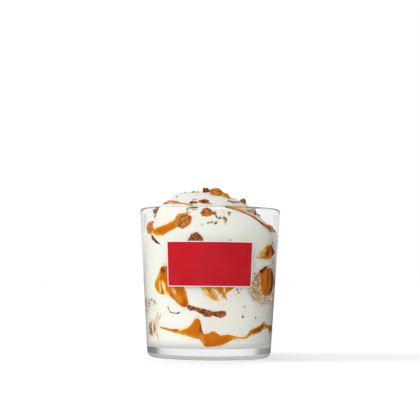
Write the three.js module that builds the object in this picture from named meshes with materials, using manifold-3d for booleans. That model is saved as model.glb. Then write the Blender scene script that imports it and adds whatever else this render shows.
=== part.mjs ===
// Soft serve sundae built together with its glass: a short tapered tumbler filled with vanilla soft
// serve, caramel layers, biscuit pieces and crumbs, with a paper label on the front of the glass.
// Millimetres, +Z up. The origin is the bottom centre of the glass, and the label faces -Y.
// An angle "at" is measured round the glass from the front, 0 at -Y and 90 at +X.
import * as THREE from 'three';
import { mergeVertices } from 'three/addons/utils/BufferGeometryUtils.js';
import Module from 'manifold-3d';

const wasm = await Module();
wasm.setup();

// ---- driving dimensions ----
const GLASS_HEIGHT = 88;
const GLASS_RADIUS_AT_FOOT = 36.7; // of the outer wall, carried straight down to the table
const GLASS_TAPER = 0.0606; // outer radius gained per millimetre of height
const WALL_AT_FOOT = 2.6;
const WALL_AT_RIM = 2.0;
const BASE_THICKNESS = 6.5;
const HEEL_RADIUS = 3.6; // rounding under the foot
const FLOOR_RADIUS = 5; // rounding where the inner wall meets the floor
const GLASS_SEGMENTS = 60;

const GAP = 0.3; // clear space between neighbours that touch
const PEAK_HEIGHT = 99.4;
const DOME_SLOPE = 0.35; // share of the dome's fall that is an even slope; the rest is its shoulder
const FOLD_DEPTH = 3; // from a fold's crest to the creases beside it
const FOLD_CREST = 0.66; // share of that depth that lies below the dome's even outline
const FOLD_ROUNDNESS = 2.6;
const CREAM_COLUMNS = 60;
const FOLD_RINGS = [[0.35, 0.75], [0.12, 0.37, 0.63, 0.88], [0.2, 0.6]]; // shares across each fold

const LABEL_HALF_ANGLE = 36.9;
const LABEL_BOTTOM = 41.9;
const LABEL_TOP = 67.9;
const LABEL_THICKNESS = 0.4;
const LABEL_COLUMNS = 20;

// Height up to which the cream touches the glass, and how square the dome's shoulder is, [at, value].
const CONTACT_HEIGHT = [
  [-180, 79], [-150, 80], [-125, 77], [-100, 75.5], [-75, 74.5], [-62, 75], [-55, 78], [-50, 84],
  [-45, 87.6], [-38, 88.4], [-25, 88], [-8, 87.4], [8, 87], [16, 86.5], [25, 85], [34, 83], [41, 81],
  [48, 78.5], [57, 76.4], [66, 75], [80, 74], [100, 74], [125, 76], [150, 79], [165, 79.4], [180, 79],
];
const SHOULDER_POWER = [
  [-180, 4], [-90, 6], [-40, 5], [0, 3], [60, 2.6], [90, 2.5], [130, 3], [180, 4],
];

// Creases where one fold of soft serve lies on the next: off-centre rings that lean towards an angle,
// are a little oval along another, and fade away from their deepest side.
const CREASES = [
  { radius: 31.2, lean: 5, toward: -20, oval: 1.3, along: 40, deepest: -70 },
  { radius: 15.5, lean: 3.4, toward: 20, oval: 1.6, along: -65, deepest: 100 },
];
const SHALLOWEST = 0.3; // depth of a crease on its faded side, as a share of its depth

const COLOURS = {
  cream: '#efece1',
  caramel: '#c8751a',
  biscuit: '#a8622f',
  crumb: '#b9996b',
  paper: '#cf1a2b',
  glass: '#eef4f2',
};

// ---- small tools ----
const radians = THREE.MathUtils.degToRad;
const lerp = THREE.MathUtils.lerp;
const clamp = THREE.MathUtils.clamp;

function seeded(seed) {
  let state = seed >>> 0;
  return () => {
    state = (state + 0x6d2b79f5) >>> 0;
    let t = Math.imul(state ^ (state >>> 15), 1 | state);
    t = (t + Math.imul(t ^ (t >>> 7), 61 | t)) ^ t;
    return ((t ^ (t >>> 14)) >>> 0) / 4294967296;
  };
}

// A smooth curve through stations [x, value], without overshoot between them.
function through(stations, x, column = 1) {
  const last = stations.length - 1;
  if (x <= stations[0][0]) return stations[0][column];
  if (x >= stations[last][0]) return stations[last][column];
  const rise = (i) =>
    (stations[i + 1][column] - stations[i][column]) / (stations[i + 1][0] - stations[i][0]);
  const slope = (i) => {
    if (i === 0) return rise(0);
    if (i === last) return rise(last - 1);
    const before = rise(i - 1);
    const after = rise(i);
    return before * after <= 0 ? 0 : (2 * before * after) / (before + after);
  };
  let i = 0;
  while (stations[i + 1][0] <= x) i += 1;
  const step = stations[i + 1][0] - stations[i][0];
  const t = (x - stations[i][0]) / step;
  const a = stations[i][column];
  const b = stations[i + 1][column];
  return a * (2 * t ** 3 - 3 * t * t + 1) + slope(i) * step * (t ** 3 - 2 * t * t + t)
    + b * (3 * t * t - 2 * t ** 3) + slope(i + 1) * step * (t ** 3 - t * t);
}

// A point at an angle round the glass, a distance from its axis and a height.
function polar(at, radius, height) {
  const angle = radians(at);
  return new THREE.Vector3(radius * Math.sin(angle), -radius * Math.cos(angle), height);
}

function geometryFrom(positions, indices) {
  const geometry = new THREE.BufferGeometry();
  geometry.setAttribute('position', new THREE.Float32BufferAttribute(positions, 3));
  geometry.setIndex(indices);
  return geometry;
}

// A closed geometry as a solid for joining and cutting, its faces turned outward.
function solid(geometry) {
  const bare = geometry.clone();
  bare.deleteAttribute('normal');
  bare.deleteAttribute('uv');
  const merged = mergeVertices(bare, 1e-4);
  const source = merged.getAttribute('position').array;
  const index = merged.getIndex().array;
  const kept = [];
  let volume = 0;
  for (let i = 0; i < index.length; i += 3) {
    const [a, b, c] = [index[i], index[i + 1], index[i + 2]];
    if (a === b || b === c || c === a) continue;
    kept.push(a, b, c);
    const [pa, pb, pc] = [a, b, c].map((v) => new THREE.Vector3().fromArray(source, 3 * v));
    volume += pa.dot(pb.cross(pc));
  }
  if (volume < 0) kept.reverse();
  return new wasm.Manifold(new wasm.Mesh({
    numProp: 3,
    vertProperties: Float32Array.from(source),
    triVerts: Uint32Array.from(kept),
  }));
}

// A solid as a geometry again: its largest body, as cutting may leave loose scraps.
function largestBody(cut) {
  const bodies = cut.decompose();
  bodies.sort((a, b) => b.volume() - a.volume());
  const mesh = bodies[0].getMesh();
  return geometryFrom(Array.from(mesh.vertProperties), Array.from(mesh.triVerts));
}

// A closed skin over rings of equal length, with a point closing each end.
function loft(rings, startPoint, endPoint) {
  const count = rings[0].length;
  const positions = [];
  const indices = [];
  for (const ring of rings) {
    for (const point of ring) positions.push(point.x, point.y, point.z);
  }
  const start = rings.length * count;
  const end = start + 1;
  positions.push(startPoint.x, startPoint.y, startPoint.z, endPoint.x, endPoint.y, endPoint.z);
  for (let j = 0; j < count; j += 1) {
    const next = (j + 1) % count;
    for (let i = 0; i + 1 < rings.length; i += 1) {
      const low = i * count;
      const high = low + count;
      indices.push(low + j, low + next, high + next, low + j, high + next, high + j);
    }
    const top = start - count;
    indices.push(start, next, j, end, top + j, top + next);
  }
  return geometryFrom(positions, indices);
}

function centreOf(points) {
  const centre = new THREE.Vector3();
  for (const point of points) centre.add(point);
  return centre.divideScalar(points.length);
}

// ---- the glass ----
function outerRadius(height) {
  return GLASS_RADIUS_AT_FOOT + GLASS_TAPER * height;
}

function innerRadius(height) {
  return outerRadius(height) - lerp(WALL_AT_FOOT, WALL_AT_RIM, height / GLASS_HEIGHT);
}

function arc(centreX, centreY, radius, from, to, steps) {
  const points = [];
  for (let i = 0; i <= steps; i += 1) {
    const angle = radians(lerp(from, to, i / steps));
    points.push(new THREE.Vector2(
      centreX + radius * Math.cos(angle),
      centreY + radius * Math.sin(angle),
    ));
  }
  return points;
}

function makeGlass() {
  const heel = arc(outerRadius(HEEL_RADIUS) - HEEL_RADIUS, HEEL_RADIUS, HEEL_RADIUS, -90, 0, 3);
  const lipRadius = WALL_AT_RIM / 2;
  const lipHeight = GLASS_HEIGHT - lipRadius;
  const lip = arc(outerRadius(lipHeight) - lipRadius, lipHeight, lipRadius, 0, 180, 4);
  const floorTop = BASE_THICKNESS + FLOOR_RADIUS;
  const floor = arc(innerRadius(floorTop) - FLOOR_RADIUS, floorTop, FLOOR_RADIUS, 0, -90, 3);
  const profile = [
    new THREE.Vector2(0, 0),
    ...heel,
    ...lip,
    ...floor,
    new THREE.Vector2(0, BASE_THICKNESS),
  ];
  const geometry = new THREE.LatheGeometry(profile, GLASS_SEGMENTS);
  geometry.rotateX(Math.PI / 2);
  return largestBody(solid(geometry));
}

// ---- the soft serve ----

const wrapped = (at) => THREE.MathUtils.euclideanModulo(at + 180, 360) - 180;

// The contact radius leaves the gap to the glass, and follows the rounded corner of its floor.
function contactRadius(height) {
  const cornerTop = BASE_THICKNESS + FLOOR_RADIUS;
  if (height >= cornerTop) return innerRadius(height) - GAP;
  const below = Math.min(cornerTop - height, FLOOR_RADIUS - GAP);
  return innerRadius(cornerTop) - FLOOR_RADIUS + Math.sqrt((FLOOR_RADIUS - GAP) ** 2 - below ** 2);
}

function floorCorner() {
  const height = BASE_THICKNESS + FLOOR_RADIUS;
  return arc(innerRadius(height) - FLOOR_RADIUS, height, FLOOR_RADIUS - GAP, -90, 0, 3);
}

function creaseRadius({ radius, lean, toward, oval, along }, at) {
  return radius + lean * Math.cos(radians(at - toward)) + oval * Math.cos(2 * radians(at - along));
}

// The dome's rim and creases at an angle, as distances from the axis, outermost first.
function foldEdges(at) {
  const creases = CREASES.map((crease) => creaseRadius(crease, at));
  return [contactRadius(through(CONTACT_HEIGHT, wrapped(at))), ...creases, 0];
}

function creaseDepth(crease, at) {
  return lerp(SHALLOWEST, 1, 0.5 + 0.5 * Math.cos(radians(at - crease.deepest)));
}

// How far a fold bulges or creases the dome at a distance from the axis and an angle.
function foldLift(radius, at) {
  const edges = foldEdges(at);
  const last = edges.length - 2;
  let fold = 0;
  while (fold < last && radius < edges[fold + 1]) fold += 1;
  const across = (edges[fold] - radius) / (edges[fold] - edges[fold + 1]);
  let offCrest = Math.abs(2 * across - 1);
  if (fold === 0) offCrest = Math.max(0, across);
  if (fold === last) offCrest = 1 - across;
  const calm = fold === 0 ? clamp(2.5 * across, 0, 1) : 1;
  const outside = creaseDepth(CREASES[Math.max(0, fold - 1)], at);
  const inside = creaseDepth(CREASES[Math.min(fold, CREASES.length - 1)], at);
  const depth = FOLD_DEPTH * lerp(outside, inside, THREE.MathUtils.smoothstep(across, 0.2, 0.8));
  return depth * (1 - offCrest ** FOLD_ROUNDNESS - FOLD_CREST) * calm;
}

function domeHeight(radius, at) {
  const angle = wrapped(at);
  const edge = through(CONTACT_HEIGHT, angle);
  const t = Math.min(1, radius / contactRadius(edge));
  const fall = DOME_SLOPE * t + (1 - DOME_SLOPE) * t ** through(SHOULDER_POWER, angle);
  return PEAK_HEIGHT - (PEAK_HEIGHT - edge) * fall + foldLift(radius, angle);
}

function makeCream() {
  const columns = Array.from({ length: CREAM_COLUMNS }, (_, j) => wrapped((360 * j) / CREAM_COLUMNS));
  const ring = (place) => columns.map(place);
  const rings = floorCorner().map((point) => ring((at) => polar(at, point.x, point.y)));
  rings.push(ring((at) => {
    const height = through(CONTACT_HEIGHT, at);
    return polar(at, contactRadius(height), height);
  }));
  FOLD_RINGS.forEach((shares, fold) => {
    const withCrease = fold < CREASES.length ? [...shares, 1] : shares;
    for (const share of withCrease) {
      rings.push(ring((at) => {
        const edges = foldEdges(at);
        const radius = lerp(edges[fold], edges[fold + 1], share);
        return polar(at, radius, domeHeight(radius, at));
      }));
    }
  });
  const bottom = new THREE.Vector3(0, 0, BASE_THICKNESS + GAP);
  const peak = new THREE.Vector3(0, 0, domeHeight(0, 0));
  return solid(loft(rings, bottom, peak));
}

// The room inside the glass, for trimming what is pressed against the wall.
function makeRoom() {
  const topHeight = GLASS_HEIGHT + 20;
  const profile = [
    new THREE.Vector2(0, BASE_THICKNESS + GAP),
    ...floorCorner(),
    new THREE.Vector2(contactRadius(topHeight), topHeight),
    new THREE.Vector2(0, topHeight),
  ];
  const geometry = new THREE.LatheGeometry(profile, GLASS_SEGMENTS);
  geometry.rotateX(Math.PI / 2);
  return solid(geometry);
}

// ---- layers that show at the wall and run inward ----

const LAYER_STEP = 9; // degrees, the longest stretch between two sections
const LAYER_THINNING = 0.45; // half thickness at a layer's inner end, as a share of that at the wall

function layerAngles(stations) {
  const angles = [stations[0][0]];
  for (let i = 0; i + 1 < stations.length; i += 1) {
    const from = stations[i][0];
    const to = stations[i + 1][0];
    const parts = Math.ceil((to - from) / LAYER_STEP);
    for (let k = 1; k <= parts; k += 1) angles.push(lerp(from, to, k / parts));
  }
  return angles;
}

// The height of a layer's lower or upper edge at its inner end.
function innerEdge(stations, at, column) {
  const middle = lerp(through(stations, at, 1), through(stations, at, 2), 0.5);
  return lerp(Math.max(middle, BASE_THICKNESS + 2 * GAP), through(stations, at, column), LAYER_THINNING);
}

// stations: [at, lower edge, upper edge, depth inward] along the wall.
function layerSolid(stations, grow) {
  const widen = THREE.MathUtils.radToDeg(grow / contactRadius(GLASS_HEIGHT / 2));
  const angles = layerAngles(stations);
  const rings = [];
  for (const at of angles) {
    const near = [at - widen, at, at + widen];
    const low = Math.min(...near.map((a) => through(stations, a, 1))) - grow;
    const high = Math.max(...near.map((a) => through(stations, a, 2))) + grow;
    const innerLow = Math.min(...near.map((a) => innerEdge(stations, a, 1))) - grow;
    const innerHigh = Math.max(...near.map((a) => innerEdge(stations, a, 2))) + grow;
    const depth = through(stations, at, 3) + grow;
    const placed = at + widen * (Number(at === angles.at(-1)) - Number(at === angles[0]));
    const outward = grow > 0 ? 2 * GAP : 0;
    rings.push([
      polar(placed, contactRadius(low) + outward, low),
      polar(placed, contactRadius(high) + outward, high),
      polar(placed, contactRadius(high) - depth, innerHigh),
      polar(placed, contactRadius(low) - depth, innerLow),
    ]);
  }
  return solid(loft(rings, centreOf(rings[0]), centreOf(rings.at(-1))));
}

const CARAMEL_LAYERS = {
  caramel_bottom: [
    [-51.2, 17.9, 18.9, 3], [-44.4, 16.9, 18.3, 7], [-38, 16.2, 17.8, 10], [-31, 15.1, 18, 14],
    [-22.4, 13.7, 18.9, 18], [-17.6, 12.8, 20, 20], [-15.2, 12.3, 22, 21], [-12.6, 11.8, 24.4, 22],
    [-10, 11.4, 24.9, 22], [-8, 10.8, 23.4, 22], [-6.4, 9.6, 18.4, 22], [-4.6, 8.2, 15.8, 22],
    [-2.2, 7.1, 15.9, 22], [3.5, 7, 17.5, 22], [7.1, 7.4, 16.4, 22], [10.9, 8.2, 14.9, 21],
    [17.4, 10, 15.2, 19], [21.3, 11.4, 14.3, 17], [25.4, 12.2, 13.5, 14], [32.7, 12.3, 13.5, 12],
    [37.2, 13.1, 14.5, 12], [40.5, 14.1, 17.2, 13], [48, 14.7, 18.8, 15], [55, 15.7, 20.6, 17],
    [61, 17.2, 22.2, 18], [66, 17.8, 20, 20], [82, 15, 19.5, 20], [100, 12, 17, 20],
    [125, 10.5, 19, 22], [150, 12, 23, 22], [172, 10, 16, 20], [195, 9, 18, 20], [215, 12, 16, 16],
    [230, 14, 16, 8],
  ],
  caramel_left: [
    [-56.2, 41.6, 43.6, 2], [-54.6, 39.4, 45.6, 5], [-52.2, 37.8, 48, 8], [-48.9, 36.7, 51.4, 10],
    [-46.6, 36.2, 54.1, 12], [-42, 36.1, 54.9, 13], [-38.4, 35.6, 54.8, 14], [-34, 33.7, 52.6, 15],
    [-30, 31.6, 48.6, 14], [-26, 29.8, 45.4, 13], [-23.6, 29.3, 43.4, 11], [-21.8, 29.5, 41.2, 8],
    [-20.2, 30.1, 37.6, 6], [-18.9, 31, 33.6, 3],
  ],
  caramel_centre: [
    [-10.4, 43.5, 49, 3], [-8.3, 41.4, 50, 6], [-6.5, 39.3, 50.5, 8], [-3.9, 36.9, 51, 10],
    [-0.2, 34.6, 51, 12], [3.4, 33.2, 51, 12], [7.2, 32.5, 50.5, 11], [9.4, 33, 50, 10],
    [12, 34, 49.6, 9], [14.6, 35.4, 49, 8], [16, 38.3, 48, 7], [17.6, 39, 47.4, 6],
    [20.4, 40.4, 46.4, 4], [23.4, 42.4, 45.2, 2],
  ],
  caramel_upper_left: [
    [-57.6, 73, 74.6, 2], [-54, 71.9, 75.4, 5], [-50.5, 70.9, 76, 7], [-44.2, 71, 77.2, 8],
    [-37.4, 72.6, 78.3, 8], [-31.2, 74.3, 79.8, 8], [-27, 76.6, 80.4, 6],
  ],
  caramel_right_upper: [
    [43.6, 58.8, 59.4, 2], [45.4, 58.3, 60.8, 4], [48.4, 58, 63.2, 7], [52.7, 57.8, 65.6, 9],
    [57, 57.8, 67.5, 11], [61.6, 58, 68, 12], [65.4, 58.6, 66.8, 11], [68.4, 59.9, 65.2, 8],
    [71.8, 61, 63.8, 5], [74.6, 61.8, 62.8, 2],
  ],
  caramel_right: [
    [48.2, 50.8, 51.8, 2], [50, 47, 52.6, 6], [52.2, 39.6, 53.3, 9], [55.5, 37, 53.8, 12],
    [60, 36.2, 54.2, 13], [64.6, 36.2, 54.4, 14], [69, 37, 53.8, 13], [73, 39, 50.8, 10],
    [76.6, 42, 47.6, 6], [78.6, 44, 45.6, 2],
  ],
  caramel_back: [
    [106, 55.6, 57.4, 2], [112, 51.6, 59.4, 8], [122, 47.4, 59, 12], [132, 43.6, 54.6, 14],
    [142, 40.8, 49.4, 14], [153, 38.8, 46.4, 14], [166, 37.4, 45.8, 13], [178, 37.8, 43.4, 12],
    [190, 39.6, 44.4, 10], [199, 42.2, 46.8, 7], [206, 44.6, 46.4, 2],
  ],
  caramel_upper_back: [
    [160, 63.4, 65, 2], [166, 60.4, 67.2, 7], [175, 58.6, 70.6, 10], [184, 60.8, 73, 10],
    [193, 65.4, 74.6, 9], [203, 69.2, 75.6, 7], [212, 72.2, 76, 5], [218, 73.8, 75.4, 2],
  ],
  caramel_left_back: [
    [237, 46.2, 48, 2], [243, 42.6, 51, 7], [251, 42, 55.2, 10], [259, 44.6, 59, 10],
    [266, 49.6, 60.2, 8], [272, 54, 59.4, 5], [277, 56.4, 58.2, 2],
  ],
};

const CRUMB_LAYERS = {
  crumb_layer_right: [
    [36.4, 39.4, 41.4, 2], [39.4, 36.6, 44.8, 5], [42.4, 34.6, 48, 7], [45.6, 33.1, 50.4, 8],
    [49, 32.2, 51, 8], [54, 31.7, 47.4, 8], [59, 31.6, 42.6, 8], [64, 31.8, 39.4, 8], [70, 32.3, 38, 8],
    [78, 33.1, 38, 8], [86, 33.6, 39.6, 7], [93, 34.2, 40.6, 5], [98, 36, 39, 2],
  ],
  crumb_layer_left: [
    [262, 27, 29, 2], [268, 24, 32.5, 5], [276, 23.6, 34, 6], [284, 27, 34.4, 6], [290, 29.4, 33.6, 5],
    [294, 30.6, 32.4, 2],
  ],
};

const BISCUIT_STRIP = [
  [-20.2, 29.4, 31.8, 4], [-17.4, 28.2, 31.7, 9], [-12, 28, 30.4, 11], [-7.4, 26.4, 30, 12],
  [-4, 24.7, 29.6, 12], [0.7, 24.4, 28.9, 12], [3.3, 25.8, 28.1, 11], [6.9, 24.6, 28.1, 11],
  [10.6, 24.1, 28.6, 10], [13.4, 24.9, 28.3, 8], [15.2, 26, 27.8, 4],
];

// ---- biscuit pieces ----

const SMALL_LUMP = 2.85; // half length below which a lump has few faces

// A broken lump of biscuit: half sizes, with flat broken faces and a rough skin.
function lump(halfSizes, seed, grow, detail) {
  const random = seeded(seed);
  const bare = new THREE.IcosahedronGeometry(1, detail);
  bare.deleteAttribute('normal');
  bare.deleteAttribute('uv');
  const geometry = mergeVertices(bare, 1e-4);
  const position = geometry.getAttribute('position');
  const breaks = Array.from({ length: 6 }, () => ({
    normal: new THREE.Vector3(random() - 0.5, random() - 0.5, random() - 0.5).normalize(),
    offset: lerp(0.62, 0.84, random()),
  }));
  const point = new THREE.Vector3();
  for (let i = 0; i < position.count; i += 1) {
    point.fromBufferAttribute(position, i);
    point.multiplyScalar(lerp(0.9, 1.12, random()));
    for (const { normal, offset } of breaks) {
      const over = point.dot(normal) - offset;
      if (over > 0) point.addScaledVector(normal, -over);
    }
    point.set(
      point.x * (halfSizes[0] + grow * 1.5),
      point.y * (halfSizes[1] + grow * 1.5),
      point.z * (halfSizes[2] + grow * 1.5),
    );
    position.setXYZ(i, point.x, point.y, point.z);
  }
  geometry.rotateX(lerp(-0.35, 0.35, random()));
  geometry.rotateY(lerp(-0.35, 0.35, random()));
  return geometry;
}

// Pieces pressed against the glass: angle, height, half sizes along the wall, inward and up.
const WALL_BISCUITS = {
  biscuit_upper_left: { at: -22.8, height: 79.2, half: [6, 3.8, 4.9], inward: 1.4, seed: 11 },
  biscuit_left_edge: { at: -61, height: 76.1, half: [4.4, 3.2, 4.4], inward: 1.4, seed: 12 },
  biscuit_under_peak: { at: -3.1, height: 84, half: [3.5, 2.8, 3.4], inward: 1, seed: 13 },
  biscuit_above_label: { at: -13.2, height: 67.4, half: [5.8, 3.4, 5.8], inward: 1.2, seed: 14 },
  biscuit_right_edge: { at: 60.5, height: 76.4, half: [4.2, 2.6, 2.2], inward: 1.6, seed: 15, lean: -24 },
  biscuit_low_left: { at: -66.6, height: 17.8, half: [4.6, 3.2, 5.2], inward: 1.2, seed: 16 },
  biscuit_back_high: { at: 137, height: 71.4, half: [4.8, 3, 3.6], inward: 1.8, seed: 18 },
  biscuit_back_middle: { at: 219, height: 57.6, half: [4.2, 3.2, 3.8], inward: 2, seed: 19 },
  biscuit_back_low: { at: 176, height: 29.6, half: [6.4, 3.2, 2.6], inward: 2, seed: 20, lean: 14 },
  biscuit_right_low: { at: 106, height: 25.6, half: [5.2, 3, 2.6], inward: 1.8, seed: 22, lean: -10 },
};

// Pieces lying on the dome: plan position, half sizes, and how much of the height is sunk in.
const DOME_BISCUITS = {
  biscuit_peak: { x: -2.2, y: -12.5, half: [2.7, 2.4, 2.4], sink: 0.35, seed: 31 },
  biscuit_cluster_large: { x: 3.6, y: -23.4, half: [4.8, 3, 2.9], sink: 0.35, seed: 32, lean: -16 },
  biscuit_cluster_small: { x: 9.2, y: -25.2, half: [3, 2, 1.7], sink: 0.4, seed: 33, lean: -12 },
  biscuit_front: { x: -3.8, y: -34, half: [3.4, 1.9, 1.5], sink: 0.4, seed: 34 },
  biscuit_front_left: { x: -10, y: -36, half: [2.8, 1.6, 1.2], sink: 0.4, seed: 35 },
  biscuit_far_left: { x: -31.2, y: -15.6, half: [2.2, 2, 1.8], sink: 0.4, seed: 36 },
  biscuit_left: { x: -29.5, y: -23.1, half: [2.8, 2.4, 2.3], sink: 0.45, seed: 37 },
  biscuit_right: { x: 19.4, y: -10.5, half: [2.5, 2.3, 2.1], sink: 0.35, seed: 38 },
  biscuit_back_crown: { x: 5.5, y: 12.5, half: [3.4, 2.8, 2.2], sink: 0.35, seed: 39 },
  biscuit_back_slope: { x: -12.5, y: 24, half: [4, 3, 2.4], sink: 0.4, seed: 40 },
  biscuit_back_right: { x: 22, y: 19, half: [3.2, 2.6, 2], sink: 0.4, seed: 41 },
};

function wallLump({ at, height, half, inward, seed, lean = 0 }, grow) {
  const geometry = lump(half, seed, grow, 1);
  geometry.rotateY(radians(-lean));
  geometry.rotateZ(radians(at));
  const centre = polar(at, contactRadius(height) - inward, height);
  geometry.translate(centre.x, centre.y, centre.z);
  return solid(geometry);
}

function domeLump({ x, y, half, sink, seed, lean = 0 }, grow) {
  const geometry = lump(half, seed, grow, half[0] < SMALL_LUMP ? 0 : 1);
  const radius = Math.hypot(x, y);
  const at = THREE.MathUtils.radToDeg(Math.atan2(x, -y));
  const slope = (domeHeight(radius + 1, at) - domeHeight(radius - 1, at)) / 2;
  geometry.rotateY(radians(-lean));
  geometry.rotateX(Math.atan(slope));
  geometry.rotateZ(radians(at));
  geometry.translate(x, y, domeHeight(radius, at) + half[2] * (1 - 2 * sink));
  return solid(geometry);
}

// ---- small toppings fused to the dome ----

// A thread of caramel lying on the dome, through plan points [at, radius, half width].
function drizzle(points, heightShare) {
  const steps = DRIZZLE_STEPS * (points.length - 1);
  const route = new THREE.CatmullRomCurve3(points.map(([at, radius]) => polar(at, radius, 0)));
  const rings = [];
  for (let i = 0; i <= steps; i += 1) {
    const t = i / steps;
    const place = route.getPoint(t);
    const along = route.getTangent(t);
    const across = new THREE.Vector3(-along.y, along.x, 0).normalize();
    const along1 = t * (points.length - 1);
    const index = Math.min(points.length - 2, Math.floor(along1));
    const halfWidth = lerp(points[index][2], points[index + 1][2], along1 - index);
    const ring = [];
    for (let j = 0; j < DRIZZLE_SIDES; j += 1) {
      const angle = (2 * Math.PI * j) / DRIZZLE_SIDES;
      const point = place.clone().addScaledVector(across, halfWidth * Math.cos(angle));
      const at = THREE.MathUtils.radToDeg(Math.atan2(point.x, -point.y));
      point.z = domeHeight(point.length(), at) + heightShare * halfWidth * Math.sin(angle);
      ring.push(point);
    }
    rings.push(ring);
  }
  return solid(loft(rings, centreOf(rings[0]), centreOf(rings.at(-1))));
}

const DRIZZLES = [
  [[8, 37, 0.8], [16, 37.6, 0.9], [25, 37.8, 1.1], [36, 37.6, 1.3], [47, 37.2, 1.5], [56, 37.4, 1.7]],
  [[19, 26.5, 0.5], [32, 23.6, 0.7], [52, 20.6, 0.8], [64, 20.4, 0.6]],
  [[-46, 32.5, 0.9], [-39, 33.6, 1.3], [-31, 35, 1.1], [-23, 36.4, 0.6]],
  [[150, 14, 0.6], [172, 20, 1], [190, 27, 1.2], [200, 33, 0.7]],
  [[-95, 12, 0.5], [-112, 20, 1], [-122, 28, 1.3], [-118, 34, 0.8]],
];
const DRIZZLE_STEPS = 2; // sections from one plan point to the next
const DRIZZLE_SIDES = 5;

// Crumbs are strewn in loose groups: angle, distance from the axis, spread, number.
const CRUMB_GROUPS = [
  [-32, 24, 7, 5], [-14, 33, 4, 2], [6, 27, 6, 2], [38, 34, 4, 3], [70, 26, 7, 2],
  [118, 27, 8, 2], [178, 24, 9, 3], [-130, 26, 8, 2],
];

function strewnCrumbs(random) {
  const crumbs = [];
  for (const [at, radius, spread, count] of CRUMB_GROUPS) {
    const middle = polar(at, radius, 0);
    for (let i = 0; i < count; i += 1) {
      const turn = 2 * Math.PI * random();
      const away = spread * Math.sqrt(random());
      const x = middle.x + away * Math.cos(turn);
      const y = middle.y + away * Math.sin(turn);
      const size = lerp(0.45, 0.95, random());
      const distance = Math.min(Math.hypot(x, y), contactRadius(GLASS_HEIGHT) - 3);
      crumbs.push({ at: THREE.MathUtils.radToDeg(Math.atan2(x, -y)), distance, size });
    }
  }
  return crumbs;
}

function crumbSolid({ at, distance, size }) {
  const geometry = new THREE.IcosahedronGeometry(size, 0);
  const place = polar(at, distance, domeHeight(distance, at) + 0.35 * size);
  geometry.rotateX(at);
  geometry.translate(place.x, place.y, place.z);
  return solid(geometry);
}

// ---- the label ----
function makeLabel() {
  const rings = [];
  for (let i = 0; i <= LABEL_COLUMNS; i += 1) {
    const at = lerp(-LABEL_HALF_ANGLE, LABEL_HALF_ANGLE, i / LABEL_COLUMNS);
    const inside = (height) => outerRadius(height) + GAP / 2;
    const outside = (height) => inside(height) + LABEL_THICKNESS;
    rings.push([
      polar(at, inside(LABEL_BOTTOM), LABEL_BOTTOM),
      polar(at, outside(LABEL_BOTTOM), LABEL_BOTTOM),
      polar(at, outside(LABEL_TOP), LABEL_TOP),
      polar(at, inside(LABEL_TOP), LABEL_TOP),
    ]);
  }
  return largestBody(solid(loft(rings, centreOf(rings[0]), centreOf(rings.at(-1)))));
}

// ---- assembly ----
const materials = {
  glass: new THREE.MeshStandardMaterial({
    color: COLOURS.glass, roughness: 0.04, metalness: 0, transparent: true, opacity: 0.3,
  }),
  cream: new THREE.MeshStandardMaterial({ color: COLOURS.cream, roughness: 0.45, metalness: 0 }),
  caramel: new THREE.MeshStandardMaterial({ color: COLOURS.caramel, roughness: 0.18, metalness: 0 }),
  biscuit: new THREE.MeshStandardMaterial({ color: COLOURS.biscuit, roughness: 0.85, metalness: 0 }),
  crumb: new THREE.MeshStandardMaterial({ color: COLOURS.crumb, roughness: 0.9, metalness: 0 }),
  paper: new THREE.MeshStandardMaterial({ color: COLOURS.paper, roughness: 0.35, metalness: 0 }),
};

const sundae = new THREE.Group();

function addNode(name, geometry, material) {
  const mesh = new THREE.Mesh(geometry, material);
  mesh.name = name;
  sundae.add(mesh);
}

addNode('glass', makeGlass(), materials.glass);
addNode('label', makeLabel(), materials.paper);

const room = makeRoom();
let cream = makeCream();
for (const crumb of strewnCrumbs(seeded(7))) cream = cream.add(crumbSolid(crumb));
for (const points of DRIZZLES) cream = cream.add(drizzle(points, 0.8));

// Biscuit pieces come first: each layer and then the cream is cut round them.
const cutters = [];
function addBiscuit(name, piece, cutter) {
  let trimmed = piece.intersect(room);
  for (const other of cutters) trimmed = trimmed.subtract(other);
  addNode(name, largestBody(trimmed), materials.biscuit);
  cutters.push(cutter);
}

addBiscuit('biscuit_strip', layerSolid(BISCUIT_STRIP, 0), layerSolid(BISCUIT_STRIP, GAP));
for (const [name, lumpAt] of Object.entries(WALL_BISCUITS)) {
  addBiscuit(name, wallLump(lumpAt, 0), wallLump(lumpAt, GAP));
}
for (const [name, lumpAt] of Object.entries(DOME_BISCUITS)) {
  addBiscuit(name, domeLump(lumpAt, 0), domeLump(lumpAt, GAP));
}

function addLayers(layers, material) {
  for (const [name, stations] of Object.entries(layers)) {
    let layer = layerSolid(stations, 0);
    for (const cutter of cutters) layer = layer.subtract(cutter);
    addNode(name, largestBody(layer), material);
    cutters.push(layerSolid(stations, GAP));
  }
}

addLayers(CARAMEL_LAYERS, materials.caramel);
addLayers(CRUMB_LAYERS, materials.crumb);

for (const cutter of cutters) cream = cream.subtract(cutter);
addNode('soft_serve', largestBody(cream), materials.cream);

export default sundae;
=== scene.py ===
"""Looks for the soft serve sundae that is built together with its glass.

Shapes are worked out in millimetres from the same named sizes as the CAD source and turned into metres
when a mesh is made. "at" is an angle round the glass from the front, 0 at -Y and 90 at +X.
"""

import math

import bmesh
import bpy
import numpy as np
from mathutils import Matrix, Vector


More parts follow.
